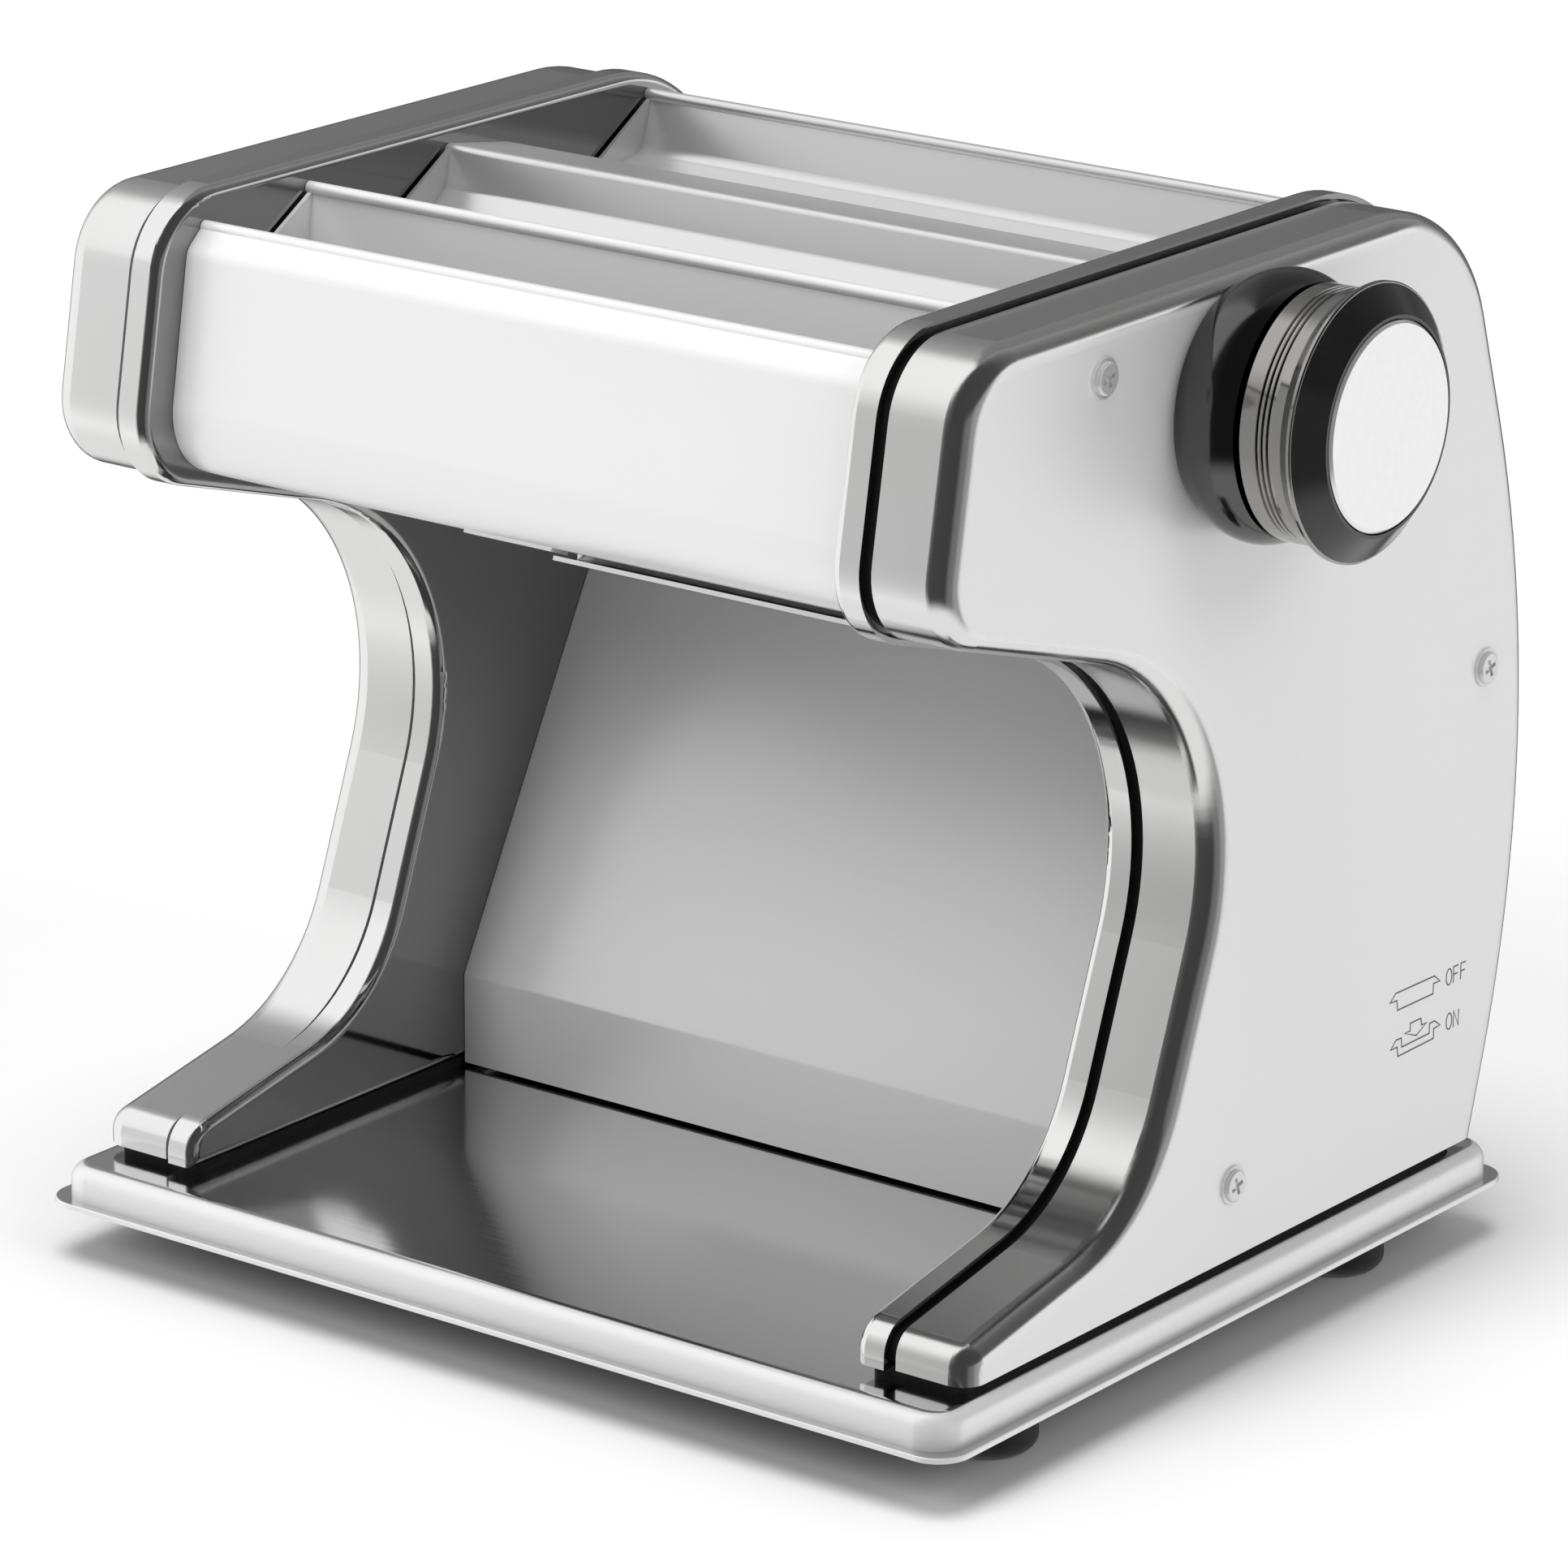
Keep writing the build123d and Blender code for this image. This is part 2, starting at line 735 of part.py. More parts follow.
def seals():
    """Black ring that closes the gap between the two pans."""
    start = plate_out_x + part_gap
    length = cover_x + seal_overlap - start
    ring = along_x(outline_face(housing_corners(seal_recess, pan_wall + part_gap)), start, length)
    inner = core_corners(seal_recess + seal_band, seal_recess + seal_band)
    ring -= along_x(outline_face(inner), start - overrun, length + 2 * overrun)
    save_pair("seal", ring)


def outer_cover(right):
    """Deep pan with rounded outer edges, open towards the middle of the machine."""
    outer = along_x(outline_face(housing_corners(cover_step, 0)), cover_x, outer_cover_depth)
    face = outer.faces().sort_by(Axis.X)[-1]
    outer = fillet(face.edges().sort_by(Axis.Z)[1:], outer_cover_fillet)
    hollow_outline = outline_face(housing_corners(cover_step + pan_wall, pan_wall))
    hollow = along_x(hollow_outline, cover_x - overrun, outer_cover_depth - pan_wall + overrun)
    hollow_face = hollow.faces().sort_by(Axis.X)[-1]
    hollow = fillet(hollow_face.edges().sort_by(Axis.Z)[1:], outer_cover_fillet - pan_wall)
    cover = outer - hollow
    start, length = cover_face_x - pan_wall - overrun, pan_wall + 2 * overrun
    for place in screw_places:
        cover -= rod(*place, start, length, screw_radius + part_gap)
    if right:
        cover -= rod(*moving_roller, start, length, knob_shaft_radius + knob_shaft_hole_gap)
        cover -= along_y(switch_x, rear_bottom, switch_height, switch_length, switch_radius + part_gap)
    return cover


def outer_covers():
    save("right_outer_cover", outer_cover(True))
    save("left_outer_cover", mirrored(outer_cover(False)))


def cover_posts():
    """Posts from the frame plates to the covers, and the screws that hold the covers to them."""
    posts = []
    screws = []
    post_end = cover_face_x - pan_wall
    for y, z in screw_places:
        post = rod(y, z, plate_out_x, post_end - plate_out_x, post_radius)
        hole_start = post_end - screw_depth - overrun
        post -= rod(y, z, hole_start, screw_depth + 2 * overrun, screw_radius + press_gap)
        screw = rod(y, z, post_end - screw_depth, screw_depth + pan_wall, screw_radius)
        screw += rod(y, z, cover_face_x, screw_rim_height, screw_head_radius)
        dome_height = screw_head_height - screw_rim_height
        dome = rod(y, z, cover_face_x + screw_rim_height, dome_height, screw_dome_radius)
        dome = fillet(dome.edges().sort_by(Axis.X)[-1], screw_dome_round)
        blade = Box(2 * screw_cross_depth, screw_cross_length, screw_cross_width)
        for angle in (screw_cross_turn, screw_cross_turn + 90):
            dome -= Pos(cover_face_x + screw_head_height, y, z) * Rot(angle, 0, 0) * blade
        posts += [post, mirrored(post)]
        screws += [screw + dome, mirrored(screw + dome)]
    save("cover_posts", *posts)
    save("cover_screws", *screws)


def tie_rods():
    save("tie_rods", *[rod(y, z, -plate_x, 2 * plate_x, tie_rod_radius) for y, z in tie_rod_places])


# ---------------------------------------------------------------- panels between the housings
def bead(y, z):
    """Rolled edge of a sheet part."""
    return rod(y, z, -sheet_half, 2 * sheet_half, bead_radius)


def front_cover():
    """Curved front panel with a rolled top edge; its lower edge turns in under the head."""
    edge_z, end_z = below_top(front_edge_drop), below_top(front_end_drop)
    points = [
        (front_edge_y, edge_z),
        (front_bend_y, below_top(front_bend_drop)),
        (front_chin_y, below_top(front_chin_drop)),
        (front_end_y, end_z),
    ]
    # The middle line is moved in by half the sheet, so that the points give the outer face.
    panel = Pos(0, sheet / 2, 0) * strip(points, sheet, [front_bend_radius, front_chin_radius])
    panel += bead(front_edge_y + bead_offset, edge_z)
    tab = Box(tab_length, tab_width, sheet, align=from_left)
    panel += Pos(tab_left, front_end_y - tab_width / 2, end_z + tab_lift) * Rot(-tab_tilt, 0, 0) * tab
    save("front_cover", panel)


def comb_holder():
    """Removable strip below the front panel, beside its tab, that holds the narrow comb."""
    back_y, end_z = front_end_y + holder_back, below_top(front_end_drop)
    points = [(front_end_y - holder_front, end_z), (back_y, end_z - holder_low), (back_y, end_z + holder_rise)]
    save("comb_holder", strip(points, holder_sheet, left=tab_left + tab_length + holder_gap))


def guide_plates(y, z, reach):
    """Two triangular end guides joined to a divider, one at each side wall."""
    front_z = z - reach * tan(radians(guide_slope))
    face = Plane.YZ * make_face(Polyline((y, z), (y - reach, front_z), (y, front_z + guide_rise), close=True))
    plate = along_x(face, sheet_half - guide_wall_gap - guide_sheet, guide_sheet)
    return plate + mirrored(plate)


def divider_front():
    """Wall between the two front slots, with a rolled top and two end guides."""
    y, top = front_divider_y, divider_top - bead_radius
    points = [
        (y, top),
        (front_waist_y, below_top(front_waist_drop)),
        (front_belly_y, below_top(front_belly_drop)),
        (front_throat_y, below_top(front_throat_drop)),
        (front_lip_y, below_top(front_lip_drop)),
    ]
    wall = strip(points, sheet, divider_bend)
    save("divider_front", wall + bead(y, top) + guide_plates(y, top, front_guide_reach))


def divider_middle():
    """Roof over the adjustable roller: front wall, sloping ledge and rear wall."""
    y, top = roller_axis_y - roof_top_lead, divider_top - sheet / 2
    points = [
        (roller_axis_y - roof_foot_lead, below_top(roof_foot_drop)),
        (roller_axis_y - roof_ledge_lead, below_top(roof_ledge_drop)),
        (roller_axis_y - roof_shoulder_lead, below_top(roof_shoulder_drop)),
        (y, top),
        (roller_axis_y + roof_rear_reach, below_top(roof_rear_drop)),
        (roller_axis_y + roof_end_reach, below_top(roof_end_drop)),
    ]
    wall = strip(points, sheet, [roof_ledge_bend, divider_bend, roof_bend, roof_bend])
    save("divider_middle", wall + guide_plates(y, top, middle_guide_reach))


def rear_feed():
    """Rear wall of the sheeting slot, with a rolled top, down to the fixed roller."""
    y, top = rear_feed_y, divider_top - bead_radius
    points = [
        (y, top),
        (feed_bend_y, below_top(feed_bend_drop)),
        (fixed_axis_y + feed_end_reach, below_top(feed_end_drop)),
    ]
    wall = strip(points, sheet, feed_bend_radius)
    save("rear_feed_plate", wall + bead(y, top) + guide_plates(y, top, rear_guide_reach))


def rear_cover():
    """Curved back panel with rows of vents, from the rear feed plate down to the tray."""
    outer = along_x(outline_face(core_corners(rear_cover_inset, rear_cover_lift)), -sheet_half, 2 * sheet_half)
    inner = outline_face(core_corners(rear_cover_inset + sheet, 0))
    panel = outer - along_x(inner, -sheet_half - overrun, 2 * (sheet_half + overrun))
    keep = Box(throat_width, rear_bulge, housing_height, align=(Align.CENTER, Align.MIN, Align.MIN))
    panel &= Pos(0, rear_feed_y + bead_radius + part_gap, 0) * keep
    slot = extrude(SlotOverall(vent_length, vent_height), amount=rear_bulge - rear_bottom, both=True)
    slot = Rot(-90, 0, 0) * slot
    for row in range(vent_rows):
        for column in range(vent_columns):
            x = (column - (vent_columns - 1) / 2) * vent_pitch_x
            panel -= Pos(x, rear_bottom, vent_first_height + row * vent_pitch_z) * slot
    hole_start = rear_bottom - rear_cover_inset
    panel -= along_y(gland_x, hole_start, gland_height, rear_bulge - hole_start, gland_radius + part_gap)
    save("rear_cover", panel)


def delivery_ramp():
    """Polished plate behind the throat: an upright apron, a steep ramp and an upright back above it."""
    points = [
        (ramp_foot_y, tray_top + ramp_lift),
        (ramp_foot_y, ramp_foot_height),
        (ramp_top_y, below_top(ramp_top_drop)),
        (ramp_top_y, below_top(ramp_end_drop)),
    ]
    save("delivery_ramp", Pos(0, sheet / 2, 0) * strip(points, sheet, [ramp_foot_bend, ramp_top_bend]))


# ---------------------------------------------------------------- rollers
def roller_with_shaft(centre, radius, journal, left_end):
    """Plain roller with journals; its left end carries gears."""
    body = rod(*centre, -roller_half, roller_length, radius)
    shaft = rod(*centre, -journal_end_x, 2 * journal_end_x, journal)
    return body + shaft + rod(*centre, -left_end, journal_end_x, gear_shaft)


def sheeting_rollers():
    fixed = roller_with_shaft(fixed_roller, roller_radius, roller_journal, gear_shaft_end_x)
    save("sheeting_roller_fixed", fixed)
    moving = roller_with_shaft(moving_roller, roller_radius, roller_journal, roller_gear_x + gear_width)
    save("sheeting_roller_adjustable", moving)


def cutter(centre, strand, first, left_end):
    """Grooved roller: discs as wide as a strand, a strand apart, starting with a disc if first."""
    count = floor(roller_length / strand)
    start = -count * strand / 2
    profile = [(-roller_half, 0), (-roller_half, cutter_groove_radius)]
    for i in range(count):
        if (i % 2 == 0) == first:
            left = start + i * strand + disc_side_gap / 2
            right = start + (i + 1) * strand - disc_side_gap / 2
            profile += [(left, cutter_groove_radius), (left, cutter_radius)]
            profile += [(right, cutter_radius), (right, cutter_groove_radius)]
    profile += [(roller_half, cutter_groove_radius), (roller_half, 0)]
    body = lathe(profile, *centre, 0)
    shaft = rod(*centre, -journal_end_x, 2 * journal_end_x, cutter_journal)
    return body + shaft + rod(*centre, -left_end, journal_end_x, gear_shaft)


def cutters():
    transfer_end = transfer_gear_x + transfer_gear_width
    save("cutter_wide_rear", cutter(wide_rear, wide_strand, True, gear_shaft_end_x))
    save("cutter_wide_front", cutter(wide_front, wide_strand, False, transfer_end))
    save("cutter_narrow_rear", cutter(narrow_rear, narrow_strand, True, transfer_end))
    save("cutter_narrow_front", cutter(narrow_front, narrow_strand, False, roller_gear_x + cutter_gear_width))


def comb(centre, strand, first):
    """Stripping comb: one finger in each groove of the roller above it."""
    y, z = centre
    bar_bottom = z - comb_bar_drop
    bar_top = bar_bottom + comb_bar_thickness
    bar = Pos(0, y, bar_bottom) * Box(2 * sheet_half, 2 * comb_half, comb_bar_thickness, align=from_below)
    count = floor(roller_length / strand)
    start = -count * strand / 2
    finger = Box(strand - 2 * comb_finger_gap, 2 * comb_half, z - comb_finger_drop - bar_top, align=from_below)
    fingers = []
    for i in range(count):
        if (i % 2 == 0) != first:
            fingers.append(Pos(start + (i + 0.5) * strand, y, bar_top) * finger)
    return bar.fuse(*fingers)


def combs():
    save("comb_wide", comb(wide_rear, wide_strand, True), comb(wide_front, wide_strand, False))
    save("comb_narrow", comb(narrow_rear, narrow_strand, True), comb(narrow_front, narrow_strand, False))


def scrapers():
    """Thin blades that keep dough off the sheeting rollers, just behind the nip."""
    reach = roller_radius + scraper_gap
    tip_run = reach * cos(radians(scraper_place))
    tip_z = roller_axis_z - reach * sin(radians(scraper_place))
    run = scraper_length * cos(radians(scraper_lean))
    fall = scraper_length * sin(radians(scraper_lean))
    front_tip = roller_axis_y + tip_run
    rear_tip = fixed_axis_y - tip_run
    save("scraper_front", strip([(front_tip, tip_z), (front_tip - run, tip_z - fall)], scraper_sheet))
    save("scraper_rear", strip([(rear_tip, tip_z), (rear_tip + run, tip_z - fall)], scraper_sheet))


def bushes():
    """Bronze bushes in the frame plates."""
    def bush(centre, bore, outer):
        body = rod(*centre, plate_x, plate_thickness, outer)
        body += rod(*centre, plate_out_x, bush_flange, outer + bush_flange_rim)
        hole_length = plate_thickness + bush_flange + 2 * overrun
        return body - rod(*centre, plate_x - overrun, hole_length, bore + running_gap)

    rings = [bush(centre, cutter_journal, cutter_bush) for centre in cutter_centres]
    rings.append(bush(fixed_roller, roller_journal, roller_bush))
    save_pair("bushes", *rings)


def bearing_blocks():
    """Two sliding blocks that carry the adjustable roller; the right one has the cam follower."""
    def slab(start, end, half_height):
        box = Box(end - start, 2 * block_half_y, 2 * half_height, align=from_left)
        return Pos(start, roller_axis_y, roller_axis_z) * box

    flange_end = plate_out_x + block_flange
    block = slab(plate_x + part_gap, flange_end, block_half_z)
    block += slab(plate_out_x + press_gap, flange_end, block_half_z + block_flange_rise)
    hole_length = flange_end - plate_x + 2 * overrun
    block -= rod(*moving_roller, plate_x - overrun, hole_length, roller_journal + running_gap)
    follower_y = roller_axis_y - cam_start_radius - follower_radius - follower_gap
    follower_start = plate_out_x + 2 * part_gap
    follower_length = cam_x + cam_width + follower_overhang - follower_start
    follower = rod(follower_y, roller_axis_z, follower_start, follower_length, follower_radius)
    save("bearing_blocks", block + follower, mirrored(block))


# ---------------------------------------------------------------- gears of the drive train
def drive_gears():
    """Every gear takes its phase from the one that drives it, starting at the fixed roller."""
    wheel_phase = 0.0
    roller_phase = meshing_phase(0.0, roller_gear_teeth, roller_gear_teeth, fixed_roller, moving_roller)
    save("sheeting_gear_fixed", gear(roller_gear_teeth, roller_gear_module, 0.0, *fixed_roller,
                                     roller_gear_x, gear_width, gear_shaft + press_gap))
    save("sheeting_gear_adjustable", gear(roller_gear_teeth, roller_gear_module, roller_phase, *moving_roller,
                                          roller_gear_x, gear_width, gear_shaft + press_gap))
    save("drive_wheel", gear(drive_wheel_teeth, drive_module, wheel_phase, *fixed_roller,
                             drive_gear_x, gear_width, gear_shaft + press_gap))

    idler_phase = meshing_phase(
        wheel_phase, drive_wheel_teeth, cutter_idler_teeth, fixed_roller, cutter_idler_centre)
    save("cutter_idler", gear(cutter_idler_teeth, drive_module, idler_phase, *cutter_idler_centre,
                              drive_gear_x, gear_width, idler_pin + running_gap))
    wide_phase = meshing_phase(
        idler_phase, cutter_idler_teeth, wide_drive_teeth, cutter_idler_centre, wide_rear)

    mutual_rear = 0.0
    mutual_front = meshing_phase(mutual_rear, cutter_gear_teeth, cutter_gear_teeth, wide_rear, wide_front)
    transfer_phase = 0.0
    narrow_transfer = meshing_phase(transfer_phase, transfer_teeth, transfer_teeth, wide_front, narrow_rear)
    narrow_mutual = 0.0
    narrow_front_phase = meshing_phase(
        narrow_mutual, cutter_gear_teeth, cutter_gear_teeth, narrow_rear, narrow_front)

    def mutual(phase, centre):
        return gear(cutter_gear_teeth, cutter_gear_module, phase, *centre,
                    roller_gear_x, cutter_gear_width, gear_shaft + press_gap)

    def transfer(phase, centre):
        return gear(transfer_teeth, cutter_gear_module, phase, *centre,
                    transfer_gear_x, transfer_gear_width, gear_shaft + press_gap)

    save("gears_wide_rear", mutual(mutual_rear, wide_rear),
         gear(wide_drive_teeth, drive_module, wide_phase, *wide_rear, drive_gear_x, gear_width,
              gear_shaft + press_gap))
    save("gears_wide_front", mutual(mutual_front, wide_front), transfer(transfer_phase, wide_front))
    save("gears_narrow_rear", mutual(narrow_mutual, narrow_rear), transfer(narrow_transfer, narrow_rear))
    save("gears_narrow_front", mutual(narrow_front_phase, narrow_front))

    big_phase = meshing_phase(
        wheel_phase, drive_wheel_teeth, drive_idler_teeth, fixed_roller, drive_idler_centre)
    save("drive_idler", gear(drive_idler_teeth, drive_module, big_phase, *drive_idler_centre,
                             drive_gear_x, gear_width, idler_pin + running_gap))
    pinion_phase = meshing_phase(big_phase, drive_idler_teeth, pinion_teeth, drive_idler_centre, motor_centre)
    pinion = gear(pinion_teeth, drive_module, pinion_phase, *motor_centre, drive_gear_x, gear_width,
                  motor_shaft - pinion_overlap)
    shaft_length = gear_shaft_end_x - sheet_half + motor_plate + shaft_engagement
    shaft = rod(*motor_centre, -gear_shaft_end_x, shaft_length, motor_shaft)
    save("motor_shaft", shaft + pinion)


def idler_pins():
    """Fixed pins of the two idler gears, with a head that keeps each gear on."""
    pins = []
    far_end = drive_gear_x + gear_width + part_gap
    shoulder_end = drive_gear_x - part_gap
    for y, z in (cutter_idler_centre, drive_idler_centre):
        pin = rod(y, z, -far_end, far_end - plate_x, idler_pin)
        pin += rod(y, z, -far_end - idler_pin_head_length, idler_pin_head_length, idler_pin + idler_pin_head)
        pin += rod(y, z, -shoulder_end, shoulder_end - plate_out_x - part_gap, idler_pin + idler_pin_shoulder)
        pins.append(pin)
    save("idler_pins", *pins)


def motor():
    """Motor with a flanged gearbox, bolted to a round plate on the left shell."""
    y, z = motor_centre
    plate_end = motor_plate - sheet_half
    plate = rod(y, z, -sheet_half, motor_plate, motor_plate_radius)
    plate -= rod(y, z, -sheet_half - overrun, motor_plate + 2 * overrun, motor_shaft + motor_hole_gap)
    save("motor_plate", plate)
    gearbox = rod(y, z, plate_end, gearbox_length, gearbox_radius)
    gearbox -= rod(y, z, plate_end - overrun, shaft_engagement + 2 * overrun, motor_shaft + running_gap)
    body_start = plate_end + gearbox_length
    body = rod(y, z, body_start, motor_length, motor_radius)
    body = fillet(body.edges().filter_by(GeomType.CIRCLE), motor_round)
    cap = rod(y, z, body_start + motor_length, motor_cap_length, motor_cap_radius)
    save("motor", gearbox + body + cap)


# ---------------------------------------------------------------- thickness knob
def cam_face():
    """Snail cam: its radius towards the follower grows by an even amount per degree of turn."""
    rise = gap_travel / radians(cam_turn)
    margin = radians(cam_dwell)
    points = []
    for i in range(cam_points):
        angle = 2 * pi * i / cam_points - margin
        if angle <= radians(cam_turn) + margin:
            radius = cam_start_radius + rise * max(angle, 0)
        else:
            left = (2 * pi - margin - angle) / (pi - 2 * margin)
            radius = cam_start_radius + rise * (radians(cam_turn) + margin) * left
        # The part that reaches the follower after a turn of the knob lies behind it.
        points.append((-radius * cos(angle), radius * sin(angle)))
    return make_face(Spline(*points, periodic=True))


def knob_base():
    """Fixed barrel-shaped boss around the shaft."""
    bore = knob_shaft_radius + running_gap
    barrel = Spline(
        (0, knob_base_radius), (knob_barrel_place, knob_barrel_radius),
        (knob_base_length, knob_shoulder_radius))
    inside = Polyline(
        (knob_base_length, knob_shoulder_radius), (knob_base_length, knob_pocket_radius),
        (knob_pocket_floor, knob_pocket_radius), (knob_pocket_floor, bore), (0, bore), (0, knob_base_radius))
    boss = revolve(make_face(barrel + inside), Axis.X)
    save("knob_base", Pos(knob_base_x, *moving_roller) * boss)


def knob_shaft():
    """Shaft with the snail cam, a collar behind the cover and a square end inside the knob."""
    shaft_start = cam_x - cam_tail
    square_start = knob_base_x + square_start_depth
    square_length = knob_ring_x - knob_square_end - square_start
    shaft = rod(*moving_roller, shaft_start, square_start - shaft_start, knob_shaft_radius)
    square = Box(square_length, knob_square, knob_square, align=from_left)
    shaft += Pos(square_start, *moving_roller) * square
    collar_start = cover_face_x - pan_wall - collar_gap - collar_length
    shaft += rod(*moving_roller, collar_start, collar_length, knob_shaft_radius + collar_rim)
    save("knob_shaft", shaft + Pos(0, *moving_roller) * along_x(Plane.YZ * cam_face(), cam_x, cam_width))


def knob():
    """Knob with grooves and a flared rim, a black ring on its face and a flat cap in the ring."""
    neck, rim, length = knob_neck_radius, knob_rim_radius, knob_body_length
    profile = [(0, 0), (0, neck - knob_neck_edge), (knob_neck_edge, neck)]
    for groove in range(groove_count):
        x = groove_start + groove * groove_pitch
        profile += [(x, neck), (x + groove_width / 2, neck - groove_depth), (x + groove_width, neck)]
    flare_end = length - knob_rim_length
    profile += [
        (flare_start, neck), ((flare_start + flare_end) / 2, neck + flare_swell),
        (flare_end, rim - knob_rim_edge), (flare_end + knob_rim_edge, rim), (length - knob_rim_edge, rim),
        (length, rim - knob_rim_edge), (length, 0)]
    body = lathe(profile, *moving_roller, knob_body_x)
    hole_depth = length - knob_square_end + square_end_gap
    hole_side = knob_square + 2 * block_gap
    hole = Box(hole_depth + overrun, hole_side, hole_side, align=from_left)
    save("knob_body", body - Pos(knob_body_x - overrun, *moving_roller) * hole)

    ring_profile = [
        (0, knob_ring_inner), (0, rim - knob_ring_step),
        (knob_ring_length, knob_ring_inner + knob_ring_land), (knob_ring_length, knob_ring_inner)]
    save("knob_ring", lathe(ring_profile, *moving_roller, knob_ring_x))
    face = knob_ring_length + knob_cap_dome
    cap_profile = [
        (0, 0), (0, knob_cap_radius), (knob_ring_length, knob_cap_radius),
        (face, knob_cap_radius - knob_cap_edge), (face, 0)]
    save("knob_cap", lathe(cap_profile, *moving_roller, knob_ring_x))


# ---------------------------------------------------------------- electrical pieces
def rear_wall_y(height, inset):
    """Distance back of the housing's rear arc at a height, moved inwards by inset."""
    lean_below, lean_above = radians(rear_lean_low), radians(rear_lean_high)
    centre_distance = rear_bulge_radius / cos((lean_below + lean_above) / 2)
    lean = (lean_above - lean_below) / 2
    centre_y = rear_bulge - centre_distance * cos(lean)
    centre_z = rear_bulge_height - centre_distance * sin(lean)
    radius = rear_bulge_radius - inset
    return centre_y + sqrt(radius ** 2 - (height - centre_z) ** 2)


def switch():
    """Push-push power switch: a barrel through the rear wall and a sprung button."""
    outside = rear_wall_y(switch_height + switch_flange_radius, cover_step)
    flange_y = outside + part_gap
    body = along_y(switch_x, flange_y - switch_length, switch_height, switch_length, switch_radius)
    body += along_y(switch_x, flange_y, switch_height, switch_flange, switch_flange_radius)
    well_radius = button_radius + running_gap
    well = along_y(switch_x, flange_y - switch_well, switch_height, 2 * switch_well, well_radius)
    save("switch_body", body - well)
    button_start = flange_y - switch_well + button_travel + part_gap
    button_end = flange_y + switch_flange + button_rise
    button = along_y(switch_x, button_start, switch_height, button_end - button_start, button_radius)
    save("switch_button", fillet(button.edges().sort_by(Axis.Y)[-1], button_round))


def cord_gland():
    """Cord entry through the rear panel."""
    outside = rear_wall_y(gland_height + gland_flange_radius, rear_cover_inset) + part_gap
    inside = outside - gland_depth
    gland = along_y(gland_x, inside, gland_height, gland_depth + gland_flange, gland_radius)
    gland += along_y(gland_x, outside, gland_height, gland_flange, gland_flange_radius)
    gland += along_y(gland_x, outside, gland_height, gland_length - gland_depth, gland_nose_radius)
    gland -= along_y(gland_x, inside - overrun, gland_height, gland_length + 2 * overrun, gland_bore)
    save("cord_gland", gland)


# ---------------------------------------------------------------- the whole machine
def build_all():
    base_tray()
    feet()
    base_pads()
    inner_shells()
    frame_plates()
    seals()
    outer_covers()
    cover_posts()
    tie_rods()
    front_cover()
    comb_holder()
    divider_front()
    divider_middle()
    rear_feed()
    rear_cover()
    delivery_ramp()
    sheeting_rollers()
    cutters()
    combs()
    scrapers()
    bushes()
    bearing_blocks()
    drive_gears()
    idler_pins()
    motor()
    knob_base()
    knob_shaft()
    knob()
    switch()
    cord_gland()


def row_shift():
    """Move that puts the machine on Z = 0 with its bounding box centred in X and Y."""
    boxes = [body.bounding_box() for body in bodies.values()]
    middle_x = (min(b.min.X for b in boxes) + max(b.max.X for b in boxes)) / 2
    middle_y = (min(b.min.Y for b in boxes) + max(b.max.Y for b in boxes)) / 2
    return Pos(-middle_x, -middle_y, -min(b.min.Z for b in boxes))


def save_all():
    os.makedirs("parts", exist_ok=True)
    shift = row_shift()
    print("shift", shift.position)
    for name, body in bodies.items():
        export_step(shift * body, "parts/" + name + ".step")
    print(len(bodies), "nodes")


build_all()
save_all()
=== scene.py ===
import bpy
import bmesh
import json
from math import cos, pi, radians, sin
from mathutils import Matrix, Vector


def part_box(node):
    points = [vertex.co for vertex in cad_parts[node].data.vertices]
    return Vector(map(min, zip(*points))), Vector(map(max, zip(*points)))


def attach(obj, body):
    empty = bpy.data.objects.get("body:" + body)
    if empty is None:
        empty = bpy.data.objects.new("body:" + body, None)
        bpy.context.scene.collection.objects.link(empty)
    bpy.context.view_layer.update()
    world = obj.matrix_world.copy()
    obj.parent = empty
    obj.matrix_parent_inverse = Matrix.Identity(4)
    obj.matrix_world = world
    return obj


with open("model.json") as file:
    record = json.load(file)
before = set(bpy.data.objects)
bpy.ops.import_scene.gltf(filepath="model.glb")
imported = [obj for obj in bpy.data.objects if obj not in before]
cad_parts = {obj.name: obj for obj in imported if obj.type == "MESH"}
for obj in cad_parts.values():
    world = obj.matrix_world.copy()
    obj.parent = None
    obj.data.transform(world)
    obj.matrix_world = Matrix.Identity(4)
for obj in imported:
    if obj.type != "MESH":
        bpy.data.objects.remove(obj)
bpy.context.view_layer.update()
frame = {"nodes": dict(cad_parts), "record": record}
nodes = frame["nodes"]
scene = bpy.context.scene
scene.view_settings.view_transform = "Standard"

# ---- camera ----
cameraSetup = {
    "eye": (0.9665, -1.2972, 0.6290),   # metres from the middle of the machine's base
    "azimuth": 37.226,                  # degrees from the front towards the knob side
    "elevation": 17.748,
    "roll": 0.318,
    "lens": 175.46,
}


def makeCamera(setup):
    azimuth, elevation, roll = (radians(setup[k]) for k in ("azimuth", "elevation", "roll"))
    back = Vector((sin(azimuth) * cos(elevation), -cos(azimuth) * cos(elevation), sin(elevation)))
    right = Vector((cos(azimuth), sin(azimuth), 0))
    up = back.cross(right)
    rolledRight = right * cos(roll) + up * sin(roll)
    rolledUp = up * cos(roll) - right * sin(roll)
    data = bpy.data.cameras.new("camera")
    data.lens = setup["lens"]
    data.clip_end = 50
    camera = bpy.data.objects.new("camera", data)
    turn = Matrix((rolledRight, rolledUp, back)).transposed()
    camera.matrix_world = Matrix.Translation(setup["eye"]) @ turn.to_4x4()
    scene.collection.objects.link(camera)
    scene.camera = camera


makeCamera(cameraSetup)
print("camera placed")


